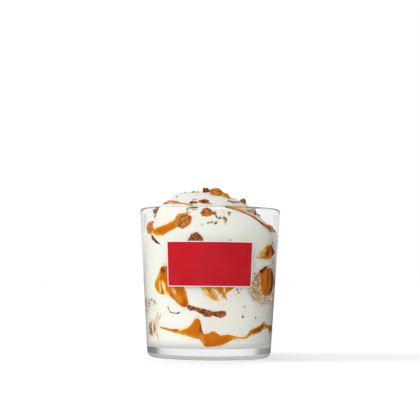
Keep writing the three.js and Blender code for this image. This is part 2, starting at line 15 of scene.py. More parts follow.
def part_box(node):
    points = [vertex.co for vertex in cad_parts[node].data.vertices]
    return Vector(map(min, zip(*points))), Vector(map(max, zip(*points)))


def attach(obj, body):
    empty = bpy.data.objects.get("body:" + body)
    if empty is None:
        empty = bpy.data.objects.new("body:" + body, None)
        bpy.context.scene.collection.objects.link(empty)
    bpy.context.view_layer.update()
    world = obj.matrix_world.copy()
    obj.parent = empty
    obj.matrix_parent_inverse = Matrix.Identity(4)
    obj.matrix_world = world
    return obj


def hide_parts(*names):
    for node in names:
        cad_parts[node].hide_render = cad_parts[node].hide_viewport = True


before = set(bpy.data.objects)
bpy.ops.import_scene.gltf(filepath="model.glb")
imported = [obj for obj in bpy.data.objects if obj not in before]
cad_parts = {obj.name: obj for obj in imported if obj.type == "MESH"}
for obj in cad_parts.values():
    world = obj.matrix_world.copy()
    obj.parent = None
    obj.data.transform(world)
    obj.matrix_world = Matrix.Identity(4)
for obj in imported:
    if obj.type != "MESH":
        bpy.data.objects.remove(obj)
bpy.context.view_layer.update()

MM = 0.001

# ---- sizes shared with the CAD source, in millimetres ----
GLASS_HEIGHT = 88.0
GLASS_RADIUS_AT_FOOT = 36.7
GLASS_TAPER = 0.0606
WALL_AT_FOOT = 2.6
WALL_AT_RIM = 2.0
BASE_THICKNESS = 6.5
HEEL_RADIUS = 3.6
FLOOR_RADIUS = 5.0
GAP = 0.3
PEAK_HEIGHT = 99.4
DOME_SLOPE = 0.35
FOLD_DEPTH = 3.0
FOLD_CREST = 0.66
FOLD_ROUNDNESS = 2.6
SHALLOWEST = 0.3
LAYER_THINNING = 0.45
LABEL_HALF_ANGLE = 36.9
LABEL_BOTTOM = 41.9
LABEL_TOP = 67.9
LABEL_THICKNESS = 0.4

CONTACT_HEIGHT = [
    (-180, 79), (-150, 80), (-125, 77), (-100, 75.5), (-75, 74.5), (-62, 75), (-55, 78), (-50, 84),
    (-45, 87.6), (-38, 88.4), (-25, 88), (-8, 87.4), (8, 87), (16, 86.5), (25, 85), (34, 83), (41, 81),
    (48, 78.5), (57, 76.4), (66, 75), (80, 74), (100, 74), (125, 76), (150, 79), (165, 79.4), (180, 79),
]
SHOULDER_POWER = [(-180, 4), (-90, 6), (-40, 5), (0, 3), (60, 2.6), (90, 2.5), (130, 3), (180, 4)]
CREASES = [
    {"radius": 31.2, "lean": 5, "toward": -20, "oval": 1.3, "along": 40, "deepest": -70},
    {"radius": 15.5, "lean": 3.4, "toward": 20, "oval": 1.6, "along": -65, "deepest": 100},
]

# Layers at the wall: angle, lower edge, upper edge, depth inward.
CARAMEL_LAYERS = {
    "caramel_bottom": [
        (-51.2, 17.9, 18.9, 3), (-44.4, 16.9, 18.3, 7), (-38, 16.2, 17.8, 10), (-31, 15.1, 18, 14),
        (-22.4, 13.7, 18.9, 18), (-17.6, 12.8, 20, 20), (-15.2, 12.3, 22, 21), (-12.6, 11.8, 24.4, 22),
        (-10, 11.4, 24.9, 22), (-8, 10.8, 23.4, 22), (-6.4, 9.6, 18.4, 22), (-4.6, 8.2, 15.8, 22),
        (-2.2, 7.1, 15.9, 22), (3.5, 7, 17.5, 22), (7.1, 7.4, 16.4, 22), (10.9, 8.2, 14.9, 21),
        (17.4, 10, 15.2, 19), (21.3, 11.4, 14.3, 17), (25.4, 12.2, 13.5, 14), (32.7, 12.3, 13.5, 12),
        (37.2, 13.1, 14.5, 12), (40.5, 14.1, 17.2, 13), (48, 14.7, 18.8, 15), (55, 15.7, 20.6, 17),
        (61, 17.2, 22.2, 18), (66, 17.8, 20, 20), (82, 15, 19.5, 20), (100, 12, 17, 20),
        (125, 10.5, 19, 22), (150, 12, 23, 22), (172, 10, 16, 20), (195, 9, 18, 20), (215, 12, 16, 16),
        (230, 14, 16, 8),
    ],
    "caramel_left": [
        (-56.2, 41.6, 43.6, 2), (-54.6, 39.4, 45.6, 5), (-52.2, 37.8, 48, 8), (-48.9, 36.7, 51.4, 10),
        (-46.6, 36.2, 54.1, 12), (-42, 36.1, 54.9, 13), (-38.4, 35.6, 54.8, 14), (-34, 33.7, 52.6, 15),
        (-30, 31.6, 48.6, 14), (-26, 29.8, 45.4, 13), (-23.6, 29.3, 43.4, 11), (-21.8, 29.5, 41.2, 8),
        (-20.2, 30.1, 37.6, 6), (-18.9, 31, 33.6, 3),
    ],
    "caramel_centre": [
        (-10.4, 43.5, 49, 3), (-8.3, 41.4, 50, 6), (-6.5, 39.3, 50.5, 8), (-3.9, 36.9, 51, 10),
        (-0.2, 34.6, 51, 12), (3.4, 33.2, 51, 12), (7.2, 32.5, 50.5, 11), (9.4, 33, 50, 10),
        (12, 34, 49.6, 9), (14.6, 35.4, 49, 8), (16, 38.3, 48, 7), (17.6, 39, 47.4, 6),
        (20.4, 40.4, 46.4, 4), (23.4, 42.4, 45.2, 2),
    ],
    "caramel_upper_left": [
        (-57.6, 73, 74.6, 2), (-54, 71.9, 75.4, 5), (-50.5, 70.9, 76, 7), (-44.2, 71, 77.2, 8),
        (-37.4, 72.6, 78.3, 8), (-31.2, 74.3, 79.8, 8), (-27, 76.6, 80.4, 6),
    ],
    "caramel_right_upper": [
        (43.6, 58.8, 59.4, 2), (45.4, 58.3, 60.8, 4), (48.4, 58, 63.2, 7), (52.7, 57.8, 65.6, 9),
        (57, 57.8, 67.5, 11), (61.6, 58, 68, 12), (65.4, 58.6, 66.8, 11), (68.4, 59.9, 65.2, 8),
        (71.8, 61, 63.8, 5), (74.6, 61.8, 62.8, 2),
    ],
    "caramel_right": [
        (48.2, 50.8, 51.8, 2), (50, 47, 52.6, 6), (52.2, 39.6, 53.3, 9), (55.5, 37, 53.8, 12),
        (60, 36.2, 54.2, 13), (64.6, 36.2, 54.4, 14), (69, 37, 53.8, 13), (73, 39, 50.8, 10),
        (76.6, 42, 47.6, 6), (78.6, 44, 45.6, 2),
    ],
    "caramel_back": [
        (106, 55.6, 57.4, 2), (112, 51.6, 59.4, 8), (122, 47.4, 59, 12), (132, 43.6, 54.6, 14),
        (142, 40.8, 49.4, 14), (153, 38.8, 46.4, 14), (166, 37.4, 45.8, 13), (178, 37.8, 43.4, 12),
        (190, 39.6, 44.4, 10), (199, 42.2, 46.8, 7), (206, 44.6, 46.4, 2),
    ],
    "caramel_upper_back": [
        (160, 63.4, 65, 2), (166, 60.4, 67.2, 7), (175, 58.6, 70.6, 10), (184, 60.8, 73, 10),
        (193, 65.4, 74.6, 9), (203, 69.2, 75.6, 7), (212, 72.2, 76, 5), (218, 73.8, 75.4, 2),
    ],
    "caramel_left_back": [
        (237, 46.2, 48, 2), (243, 42.6, 51, 7), (251, 42, 55.2, 10), (259, 44.6, 59, 10),
        (266, 49.6, 60.2, 8), (272, 54, 59.4, 5), (277, 56.4, 58.2, 2),
    ],
}
CRUMB_LAYERS = {
    "crumb_layer_right": [
        (36.4, 39.4, 41.4, 2), (39.4, 36.6, 44.8, 5), (42.4, 34.6, 48, 7), (45.6, 33.1, 50.4, 8),
        (49, 32.2, 51, 8), (54, 31.7, 47.4, 8), (59, 31.6, 42.6, 8), (64, 31.8, 39.4, 8), (70, 32.3, 38, 8),
        (78, 33.1, 38, 8), (86, 33.6, 39.6, 7), (93, 34.2, 40.6, 5), (98, 36, 39, 2),
    ],
    "crumb_layer_left": [
        (262, 27, 29, 2), (268, 24, 32.5, 5), (276, 23.6, 34, 6), (284, 27, 34.4, 6), (290, 29.4, 33.6, 5),
        (294, 30.6, 32.4, 2),
    ],
}

# ---- sizes of the looks alone, in millimetres ----
# How far each kind of filling reaches into the glass wall, so that no air shows between them.
CREAM_BITE = 0.12
BED_BITE = 0.16
CARAMEL_BITE = 0.2
BISCUIT_BITE = 0.22
STREAK_BITE = 0.27
CRUMB_BITE = 0.32
BISCUIT_REACH = 1.4  # how near the wall a biscuit is pressed flat against it
LABEL_CORNER = 0.8
LABEL_BORDER = 0.5
LIP_DEPTH = 1.3
MAP_CELL = 0.25
CREAM_DRAWN_IN = 1.9 / 39  # share of its radius by which cream makes room for what covers it
LARGE_BISCUIT = 12.0
FINE_MESH, COARSE_MESH = 0.26, 0.34
GLASS_COLUMNS = 192
CREAM_COLUMNS, WALL_ROWS, DOME_ROWS = 450, 130, 76
LAYER_STEP, FACE_ROWS = 0.45, 40  # degrees from column to column, and rows at the glass
DRIZZLE_STEPS, DRIZZLE_SIDES = 18, 16
THREAD_STEPS, THREAD_SIDES = 14, 12
GRAINS_PER_DEGREE = 3.2
STRAY_CRUMBS = 150  # against the glass on the hidden side

# Small hollows where one fold of cream meets the next against the glass: (line, half width, depth).
WALL_FOLDS = [
    ([(-46.7, 78.2), (-48.3, 76.5), (-48.0, 74.8), (-45.6, 73.6)], 0.05, 0.5),
    ([(-60, 72.4), (-57.7, 71.2), (-50.7, 67.2), (-44.8, 63.6), (-38.1, 60.6)], 0.1, 0.4),
    ([(44, 56.2), (52, 56.8), (60, 57.2), (66, 56.4)], 0.1, 0.4),
    ([(100, 66), (112, 63), (124, 63), (138, 66), (152, 65)], 0.4, 0.8),
    ([(96, 48), (104, 44), (112, 42), (120, 38), (132, 34)], 0.4, 0.8),
    ([(146, 33), (158, 30), (168, 27), (180, 26)], 0.4, 0.7),
    ([(-178, 52), (-170, 56), (-160, 56), (-150, 52), (-142, 50)], 0.4, 0.8),
    ([(-172, 30), (-160, 27), (-148, 28), (-136, 32), (-126, 31)], 0.4, 0.8),
    ([(-140, 68), (-128, 64), (-114, 63), (-100, 66), (-90, 66)], 0.4, 0.8),
    ([(-122, 40), (-112, 37), (-102, 38)], 0.4, 0.6),
    ([(84, 27), (94, 28), (102, 32)], 0.4, 0.6),
]
# Crumbs against the glass: (at, height, half size, tone).
WALL_CRUMBS = [
    (3.1, 83.7, 1.28, 0.15), (4.4, 82.6, 0.73, 0.3), (5.3, 81.7, 0.85, 0.1), (15.3, 84.2, 1.34, 0.2),
    (15.6, 82.8, 0.85, 0.4), (7.2, 80.9, 1.22, 0.3), (8.6, 81.3, 0.85, 0.15), (11.6, 80.9, 1.22, 0.2),
    (12.8, 80.2, 1.22, 0.25), (12.9, 79.2, 0.85, 0.5), (-1.8, 78.2, 0.85, 0.4), (-0.7, 78.4, 0.98, 0.25),
    (1.4, 78.7, 0.98, 0.15), (4.4, 78.3, 0.98, 0.2), (5.6, 78.8, 0.73, 0.4), (12.6, 77.7, 0.61, 0.5),
    (11.2, 84.4, 0.5, 0.6), (-6.9, 77.2, 0.8, 0.65), (22.4, 82.4, 0.35, 0.7), (17.4, 68.6, 0.7, 0.2),
    (24.6, 40.4, 0.8, 0.05), (25.6, 39.8, 0.6, 0.1), (26.4, 38.6, 0.8, 0.0), (28.4, 40.6, 0.5, 0.2),
    (24, 37.6, 0.4, 0.4), (33, 30.8, 0.7, 0.3), (31.2, 24.8, 0.8, 0.05), (31, 26, 0.5, 0.2),
    (43.2, 47.6, 0.8, 0.15), (42.4, 49.6, 0.6, 0.1), (45, 46.4, 0.6, 0.3), (46.6, 24.4, 0.8, 0.3),
    (44.8, 22.4, 0.5, 0.6), (-72, 65.3, 0.9, 0.2), (-69.6, 52.8, 0.9, 0.15), (-70, 50.8, 0.6, 0.3),
    (-68.8, 33.2, 0.9, 0.3), (-66, 34.2, 0.8, 0.2), (-62.7, 34, 1.1, 0.15), (-60, 33.2, 0.9, 0.35),
    (-57.6, 33.2, 1.0, 0.15), (-56.3, 32, 0.8, 0.25), (-58.8, 31.6, 0.7, 0.4), (-65, 31.8, 0.8, 0.4),
    (-62.4, 31, 0.5, 0.5), (-69.6, 29.8, 0.8, 0.45), (-66, 28, 0.6, 0.55), (-68, 26, 0.5, 0.6),
    (-44.2, 26, 0.3, 0.5), (-34.2, 25, 0.35, 0.5), (28, 33, 0.4, 0.6), (38, 52, 0.35, 0.3),
    (66.4, 67.8, 1.1, 0.05), (70.6, 66, 0.8, 0.15), (71, 58, 0.7, 0.2), (72, 62, 0.5, 0.3),
    (69.6, 56.4, 0.8, 0.3), (73, 52, 0.7, 0.2), (-38, 84, 0.3, 0.4), (-51, 80.6, 0.3, 0.6),
    (19.5, 36.4, 0.4, 0.5), (46, 30.2, 0.6, 0.45), (50.6, 24.2, 0.5, 0.4), (66, 26, 0.6, 0.3),
]
# Loose groups of crumbs lying on the dome: (at, radius, spread, number, smallest, largest).
DOME_CRUMBS = [
    (-50, 20, 5, 24, 0.24, 0.4), (-66, 26, 4, 8, 0.24, 0.4), (-50, 14.5, 4.5, 26, 0.36, 0.6),
    (-42, 32, 3, 5, 0.16, 0.5), (-14, 34.4, 2.4, 7, 0.3, 0.5), (-20, 20, 5, 10, 0.2, 0.4),
    (39, 33.8, 1.3, 5, 0.5, 0.8), (46, 32.4, 1.3, 6, 0.5, 0.8), (55, 30.8, 1.5, 6, 0.5, 0.9),
    (66, 30, 1.5, 6, 0.5, 0.9), (79, 29.8, 1.5, 5, 0.4, 0.8), (70, 26, 7, 16, 0.22, 0.6),
    (118, 27, 8, 20, 0.22, 0.7), (178, 24, 9, 26, 0.22, 0.7), (-130, 26, 8, 20, 0.22, 0.7),
    (-90, 22, 7, 14, 0.2, 0.6), (30, 8, 7, 14, 0.2, 0.5), (-60, 10, 6, 10, 0.2, 0.5),
]
# Caramel threads lying on the dome, each through points of (at, radius, half width).
DRIZZLES = [
    [
        (8, 39, 0.3), (13, 39, 0.6), (20, 39, 0.9), (29, 38.8, 1.1), (38, 38.5, 1.4), (47, 38.2, 1.8),
        (55, 38.2, 2.2), (63, 38.4, 2.3), (70, 38.6, 1.7), (76, 38.8, 0.7),
    ],
    [
        (18.4, 31.6, 0.4), (23, 31.4, 0.55), (31, 29.8, 0.6), (38, 27.4, 0.55), (46, 24.6, 0.45),
        (58, 21, 0.4),
    ],
    [
        (-45, 38.4, 0.3), (-41, 38.3, 0.7), (-36.4, 38.1, 0.95), (-32, 38.1, 0.8), (-27, 38.5, 0.35),
        (-15, 39.1, 0.22),
    ],
    [(150, 14, 0.5), (160, 16.6, 0.8), (172, 20, 1), (182, 23.6, 1.1), (190, 27, 1.2), (200, 33, 0.7)],
    [(-95, 12, 0.4), (-104, 15.6, 0.8), (-112, 20, 1), (-118, 24.4, 1.2), (-122, 28, 1.3), (-118, 34, 0.8)],
    [(-3, 35.4, 0.4), (-0.5, 35.6, 0.8), (2, 36, 0.6), (4, 36.4, 0.3)],
    [(44, 34.4, 0.3), (50, 34.2, 0.7), (56, 34.6, 0.9), (62, 35.4, 0.8), (67, 36.4, 0.4)],
]
# Thin threads against the glass: sauce (line, half width, edge, dark) and crumb (line, half width, tone).
SAUCE_THREADS = [
    ([(-31.1, 78.9), (-28.1, 81), (-24.4, 82.8), (-20, 83.6), (-15.7, 84.1)], 0.55, 0.0, 0.0),
    ([(-19, 84.4), (-18.8, 86), (-17.6, 86.6), (-13, 86.8), (-9.1, 86.8)], 0.36, 0.8, 0.8),
    ([(-15, 85.7), (-13.2, 85.8), (-11, 85.9)], 0.4, 0.3, 0.1),
    ([(-58.4, 71.8), (-56, 70.4), (-51, 67.6), (-46.6, 66.4)], 0.75, 0.7, 0.92),
    ([(-57, 71), (-56, 69.6), (-54.9, 68.6)], 1.0, 0.7, 0.8),
    ([(20, 14.5), (27.3, 13.2), (34.2, 12.8), (39, 13.8), (42.3, 15.5)], 0.35, 0.3, 0.1),
    ([(5.2, 41.6), (8.6, 41.2), (11.8, 39.3), (13.4, 37.4), (14.2, 35.8), (15.6, 34.4)], 0.42, 0.3, 0.0),
    ([(49, 51), (53.9, 52.5), (60, 54.2)], 0.8, 0.8, 1.0),
    ([(72.5, 19), (73.2, 16.6), (73, 14.4)], 1.0, 0.8, 0.85),
]
CRUMB_THREADS = [
    ([(-39.9, 30.7), (-39.4, 29.4), (-38.3, 28.2)], 0.26, 0.1),
    ([(-38, 27.9), (-36.8, 27.2), (-35.2, 27)], 0.34, 0.0),
    ([(-34.8, 27.1), (-33.4, 26.7), (-32, 26.7)], 0.4, 0.05),
    ([(-31.4, 26.6), (-29, 26.8), (-27.1, 27.4)], 0.36, 0.0),
    ([(-48.5, 26.6), (-50, 24.6), (-51.9, 22.2)], 0.4, 0.6),
    ([(-53.3, 27), (-54.6, 25), (-56.9, 22.4)], 0.4, 0.5),
    ([(-55, 24), (-57.5, 21.6), (-59.4, 18)], 0.8, 0.7),
    ([(-59.6, 22.4), (-58, 17.6), (-55.6, 13.1), (-53, 10.4)], 0.7, 0.62),
    ([(-51.6, 25.4), (-54, 21.4), (-55.4, 17.6)], 0.8, 0.78),
    ([(-63, 23), (-63.6, 19), (-63, 15), (-61.4, 12.6)], 1.0, 0.85),
]

# ---- colours ----
CREAM_WARM = (0.85, 0.832, 0.762)
CREAM_COOL = (0.822, 0.842, 0.79)
CREAM_STAIN = (0.78, 0.56, 0.2)
CREAM_DUST = (0.62, 0.52, 0.36)
CREAM_STREAK = (0.84, 0.77, 0.52)
SPECKLE = (0.3, 0.2, 0.1)
CARAMEL_TONES = [
    (0.0, (0.86, 0.72, 0.42)), (0.12, (0.78, 0.52, 0.11)), (0.26, (0.68, 0.33, 0.014)),
    (0.42, (0.62, 0.225, 0.004)), (0.6, (0.59, 0.165, 0.002)), (0.76, (0.55, 0.122, 0.001)),
    (0.9, (0.33, 0.06, 0.001)), (1.0, (0.1, 0.018, 0.002)),
]
BISCUIT_TONES = [
    (0.0, (0.16, 0.035, 0.006)), (0.22, (0.36, 0.095, 0.014)), (0.45, (0.6, 0.19, 0.026)),
    (0.72, (0.74, 0.29, 0.048)), (0.9, (0.84, 0.44, 0.12)), (1.0, (0.92, 0.64, 0.3)),
]
DULL_TONES = [
    (0.0, (0.1, 0.022, 0.007)), (0.3, (0.32, 0.08, 0.024)), (0.6, (0.52, 0.165, 0.058)),
    (1.0, (0.76, 0.38, 0.17)),
]
GLAZE_TONES = [
    (0.0, (0.3, 0.08, 0.006)), (0.35, (0.62, 0.21, 0.012)), (0.7, (0.78, 0.42, 0.04)),
    (1.0, (0.88, 0.62, 0.16)),
]
CRUMB_TONES = [
    (0.0, (0.1, 0.04, 0.013)), (0.25, (0.42, 0.205, 0.065)), (0.55, (0.66, 0.48, 0.25)),
    (1.0, (0.88, 0.77, 0.56)),
]
LABEL_RED = (0.61, 0.006, 0.017)
LABEL_RED_DEEP = (0.56, 0.005, 0.014)
LABEL_RED_LIGHT = (0.7, 0.03, 0.045)
LABEL_PALE = (0.95, 0.92, 0.91)
# The glass's own faint tint, then painted shade that darkens the wall where it is seen edge-on, towards its
# outline.
GLASS_TINT_AND_EDGE_SHADE = [
    (0.0, (0.985, 0.99, 0.99)), (0.8, (0.97, 0.98, 0.98)), (0.95, (0.75, 0.77, 0.78)),
    (1.0, (0.45, 0.47, 0.49)),
]
# Painted shade: a darker band along the rounded lip, drawn as a dark line round the rim.
LIP_SHADE_LINE = (0.6, 0.62, 0.64)
FOOT_TINT = (0.9, 0.915, 0.925)

# Where caramel and crumb dust tint the cream: (line, half width, feather, strength).
STAINS = [
    ([(-1, 39.5), (3, 37.5), (8, 35), (13, 34)], 1.6, 2.4, 0.2),
    ([(14, 35.5), (11, 38.5)], 0.4, 1.2, 0.3),
    ([(27.6, 71), (33, 69.8)], 0.8, 2.4, 0.16),
    ([(-57, 31), (-54, 24), (-57, 17)], 1.2, 2.4, 0.22),
    ([(56, 68.8), (63, 69.2)], 0.6, 1.2, 0.4),
    ([(-10, 26), (0, 22), (12, 21)], 1.0, 4.0, 0.05),
]
SPECKLED = [
    ([(-70, 30), (-66, 25), (-62, 20)], 3, 4, 0.8),
    ([(-54, 33), (-60, 33), (-66, 33)], 1.5, 3, 0.7),
    ([(38, 40), (46, 36), (60, 33)], 2, 4, 0.7),
    ([(44, 48), (46, 44)], 2, 3, 0.8),
    ([(-30, 90), (-40, 90)], 2, 3, 0.4),
]
# Marks in the caramel: golden and cream marbling, and dark marks that are partly deeper caramel and partly
# painted shade along creases and the edges of folds: (line, half width, feather, strength).
PALE = [
    ([(-28, 17.8), (-21.4, 19.6), (-17, 22.6)], 1.0, 1.4, 1.0),
    ([(-50, 48), (-53.2, 43.6), (-53, 40.2), (-49.4, 38)], 0.8, 1.8, 0.8),
    ([(-49.4, 44.6), (-49, 42), (-48.2, 39.4)], 0.5, 0.9, 1.1),
    ([(-47, 53), (-50, 49)], 0.1, 1.2, 0.8),
    ([(-45.6, 44), (-43.3, 40.6), (-41, 37.4)], 1.1, 1.2, 1.1),
    ([(-36.4, 43), (-33.4, 40), (-30, 36.4), (-27, 34)], 0.8, 1.6, 0.6),
    ([(-22.6, 41), (-20.8, 36)], 0.1, 0.9, 0.5),
    ([(-7, 41.4), (-4, 38.6), (0, 36.2), (4, 34.2), (7, 33.2)], 1.2, 1.4, 1.0),
    ([(-1, 41.6), (3, 41.4), (7, 41)], 0.6, 1.2, 0.6),
    ([(13, 41.8), (17, 40)], 0.2, 1.4, 0.4),
    ([(50.4, 64), (55, 66.4), (61, 67.6)], 0.5, 1.3, 1.2),
    ([(46.4, 59.8), (50, 61.6), (54.4, 63.6)], 0.5, 1.1, 1.15),
    ([(50, 59), (57, 59.4), (64, 60)], 0.2, 1.2, 0.5),
    ([(56, 51.4), (57.5, 47), (57, 43)], 0.5, 1.9, 0.4),
    ([(66, 52), (67, 46), (66, 40)], 0.4, 1.6, 0.35),
    ([(53.4, 42), (55.4, 38.6)], 0.3, 1.2, 0.5),
    ([(-50.6, 18.6), (-47.6, 18.1)], 0.2, 0.7, 0.5),
    ([(-30, 15.6), (-20, 14.4), (-12, 13.2), (-7.4, 13)], 0.4, 2.2, 0.5),
    ([(-7.2, 14.8), (-6.2, 12), (-5, 9.6)], 0.1, 0.7, 0.7),
    ([(22, 12.9), (30, 12.9), (38, 13.8)], 0.2, 0.8, 0.6),
    ([(59.6, 17.6), (61.4, 19.4), (62, 21.4)], 0.5, 1.2, 0.8),
    ([(-56.8, 73.8), (-52, 72.2), (-46, 71.8)], 0.3, 1.3, 0.6),
    ([(-50, 75.8), (-44, 77), (-38, 78)], 0.1, 0.8, 0.55),
    ([(118, 52), (127, 49), (138, 46)], 0.3, 1.4, 0.8),
    ([(160, 43), (172, 41.4)], 0.2, 1.2, 0.8),
    ([(176, 63), (182, 66), (188, 69)], 0.3, 1.4, 0.8),
    ([(128, 14), (144, 16), (152, 19)], 0.4, 1.8, 0.7),
]
WHITE = [
    ([(-25.6, 19), (-21.6, 21), (-18.2, 23.4)], 0.6, 0.7, 0.9),
    ([(-49, 44.4), (-48.8, 42), (-48.3, 40)], 0.2, 0.5, 0.8),
    ([(-44.4, 42.8), (-43.3, 41), (-42, 38.6)], 0.4, 0.7, 0.85),
    ([(-34.6, 41.6), (-33.2, 40), (-31.7, 38.2)], 0.4, 0.8, 0.7),
    ([(2.6, 39.8), (5.2, 38.1), (8, 36.4), (10.2, 35.6)], 0.7, 1.1, 1.0),
    ([(4.6, 39.2), (7.8, 38), (9.8, 36.8)], 0.8, 0.9, 1.0),
    ([(9.4, 34.6), (11, 35), (12.6, 35.6)], 0.5, 0.7, 0.9),
    ([(12.4, 41.6), (13.8, 39.4), (15.4, 37.4)], 0.25, 0.35, 1.0),
    ([(15, 36.6), (15.6, 38.2)], 0.5, 0.4, 1.0),
    ([(46.8, 58.9), (50.3, 60), (54, 60.9)], 0.12, 0.5, 0.8),
    ([(121, 51.4), (128, 49)], 0.2, 0.7, 0.8),
    ([(178, 64), (184, 67)], 0.2, 0.7, 0.8),
]
DARK = [
    ([(-45.2, 52), (-43.6, 51)], 0.7, 1.4, 0.5),
    ([(-48, 37.7), (-46, 37), (-43.7, 36.6), (-39.5, 36.3)], 0.12, 0.4, 1.0),
    ([(-47.2, 43.4), (-46.6, 40.4), (-45.8, 38)], 0.08, 0.4, 0.8),
    ([(-41.4, 41), (-40.2, 37.6)], 0.08, 0.5, 0.5),
    ([(-24.4, 33.4), (-23, 30.8)], 1.4, 2.2, 0.22),
    ([(49.4, 51.3), (51.8, 52.3), (55, 53.3), (58, 53.9)], 0.6, 0.6, 1.0),
    ([(51.6, 50.8), (53, 51.6)], 0.5, 0.5, 1.0),
    ([(61, 52), (62, 46), (61, 40)], 0.3, 2.0, 0.25),
    ([(70, 50), (71.4, 44), (70, 39)], 0.8, 2.0, 0.6),
    ([(55, 58.8), (58.4, 61), (60.4, 64.4)], 0.3, 1.7, 0.35),
    ([(66, 66.4), (68.6, 63), (68.6, 60)], 0.7, 1.5, 0.6),
    ([(-48, 18.2), (-38, 17.4), (-30, 17)], 0.5, 1.2, 0.4),
    ([(-17.4, 19.8), (-15.4, 21.6), (-14, 23.4)], 0.05, 0.6, 0.5),
    ([(-7.4, 20), (-8.6, 17.6), (-6.4, 16.2)], 0.1, 0.8, 0.35),
    ([(41, 17), (48, 18.7), (55, 20.4), (60, 22)], 0.1, 0.7, 0.6),
    ([(46, 16.4), (52, 17.6), (57, 19)], 0.8, 1.6, 0.35),
    ([(66, 66), (70, 64)], 0.4, 1.2, 0.5),
    ([(-55.6, 74.6), (-53, 75.2)], 0.1, 0.5, 0.6),
]
# How biscuits differ in colour: name, (lighter, dull share, glaze share).
BISCUIT_LOOKS = {
    "biscuit_far_left": (0.2, 0.0, 0.2),
    "biscuit_upper_left": (0.1, 0.0, 0.0),
    "biscuit_left_edge": (0.2, 0.0, 0.15),
    "biscuit_under_peak": (0.1, 0.0, 0.0),
    "biscuit_strip": (-0.02, 1.0, 0.0),
    "biscuit_peak": (-0.14, 0.6, 0.0),
    "biscuit_cluster_large": (0.1, 0.0, 0.6),
    "biscuit_cluster_small": (0.22, 0.0, 1.0),
    "biscuit_front": (-0.02, 0.5, 0.0),
    "biscuit_front_left": (-0.1, 0.8, 0.0),
    "biscuit_left": (-0.1, 0.6, 0.0),
    "biscuit_above_label": (-0.06, 0.4, 0.0),
    "biscuit_low_left": (0.0, 0.5, 0.2),
    "biscuit_right_edge": (0.0, 0.0, 0.5),
}

# ---- the studio ----
INSIDE_GLASS = 10  # more than the mirrorings of a ray that has come through glass
FLOOR_REACH = 6.0
# The floor's tones as seen, as mirrored, and as a light on other things.
FLOOR_TONES = [(0.3, (0.88, 0.88, 0.89)), (0.7, (0.89, 0.89, 0.9))]
FLOOR_MIRRORED = (0.05, 0.05, 0.05)
FLOOR_LIGHTING = (0.26, 0.26, 0.26)
# How bright the room is from left to right and from front to back: (share of the way, level).
LIT_BY_SIDE = [(0.0, 0.5), (0.4, 0.75), (0.6, 0.65), (0.8, 0.22), (1.0, 0.03)]
LIT_BY_DEPTH = [(0.0, 0.05), (0.3, 0.15), (0.55, 0.9), (1.0, 1.0)]
BENT_BY_SIDE = [(0.0, 0.3), (0.17, 0.5), (0.23, 1.0), (0.8, 1.0), (0.86, 0.4), (1.0, 0.25)]
BENT_BY_DEPTH = [(0.0, 0.2), (0.6, 0.4), (0.9, 0.8), (0.97, 1.0)]
MIRRORED_BY_DEPTH = [(0.0, 0.0), (0.35, 0.03), (0.6, 0.3), (0.9, 0.6)]
# Lamps: name, strength, direction that they shine from, width in degrees, whether glass mirrors them.
LAMPS = [
    ("key", 0.96, (-0.8, -0.1, 0.55), 22, True),
    ("front_fill", 1.6, (-0.14, -1, 0.25), 40, False),
    ("top_fill", 1.0, (0.1, 0.1, 1), 60, False),
]
LENS = 99.7
CAMERA_DISTANCE = 0.7
CAMERA_HEIGHT = 0.047
CAMERA_PITCH = 3.34
CAMERA_ROLL = 0.5
CAMERA_ASIDE = -0.0001


# ---- numbers ----
class Curve:
    """A smooth curve through stations, without overshoot between them."""

    def __init__(self, stations, column=1):
        self.x = np.array([s[0] for s in stations], float)
        self.y = np.array([s[column] for s in stations], float)
        rise = np.diff(self.y) / np.diff(self.x)
        before, after = rise[:-1], rise[1:]
        total = np.where(before * after > 0, before + after, 1.0)
        inner = np.where(before * after > 0, 2 * before * after / total, 0.0)
        self.slope = np.concatenate((rise[:1], inner, rise[-1:]))

    def __call__(self, x):
        x = np.clip(np.asarray(x, float), self.x[0], self.x[-1])
        i = np.clip(np.searchsorted(self.x, x, side="right") - 1, 0, len(self.x) - 2)
        step = self.x[i + 1] - self.x[i]
        t = (x - self.x[i]) / step
        return (
            self.y[i] * (2 * t**3 - 3 * t * t + 1)
            + self.slope[i] * step * (t**3 - 2 * t * t + t)
            + self.y[i + 1] * (3 * t * t - 2 * t**3)
            + self.slope[i + 1] * step * (t**3 - t * t)
        )


def mix(a, b, t):
    return a + (b - a) * t


def smooth(x, low, high):
    t = np.clip((np.asarray(x, float) - low) / (high - low), 0, 1)
    return t * t * (3 - 2 * t)


def wrapped(at):
    return (np.asarray(at, float) + 180) % 360 - 180


def polar(at, radius, height):
    angle = np.radians(at)
    return np.stack(np.broadcast_arrays(radius * np.sin(angle), -radius * np.cos(angle), height), -1)


def radius_of(points):
    return np.hypot(points[:, 0], points[:, 1])


def angle_of(points):
    return np.degrees(np.arctan2(points[..., 0], -points[..., 1]))


def scaled_out(points, radius):
    """Moves points in or out from the glass's axis to a radius."""
    points[:, :2] *= (radius / np.maximum(radius_of(points), 1e-6))[:, None]


def hashed(cells, seed):
    """A number from 0 to 1 for each lattice cell."""
    n = cells[..., 0] * 73856093 ^ cells[..., 1] * 19349663 ^ cells[..., 2] * 83492791 ^ seed * 40503
    n = (n ^ n >> 15) * 2246822519 & 0xFFFFFFFF
    n = (n ^ n >> 13) * 3266489917 & 0xFFFFFFFF
    return (n ^ n >> 16 & 0xFFFFFFFF) / 4294967295.0


def ripple(points, size, seed=0, octaves=1):
    """Smooth noise from about -1 to 1 with features of a size in millimetres."""
    total = np.zeros(points.shape[:-1])
    strength = 1.0
    for octave in range(octaves):
        place = points / size
        cell = np.floor(place).astype(np.int64)
        t = place - cell
        t = t * t * (3 - 2 * t)
        value = 0.0
        for corner in np.ndindex(2, 2, 2):
            weight = 1.0
            for axis in range(3):
                weight = weight * (t[..., axis] if corner[axis] else 1 - t[..., axis])
            value = value + weight * hashed(cell + np.array(corner), seed + octave)
        total += strength * (2 * value - 1)
        strength *= 0.5
        size /= 2
    return total


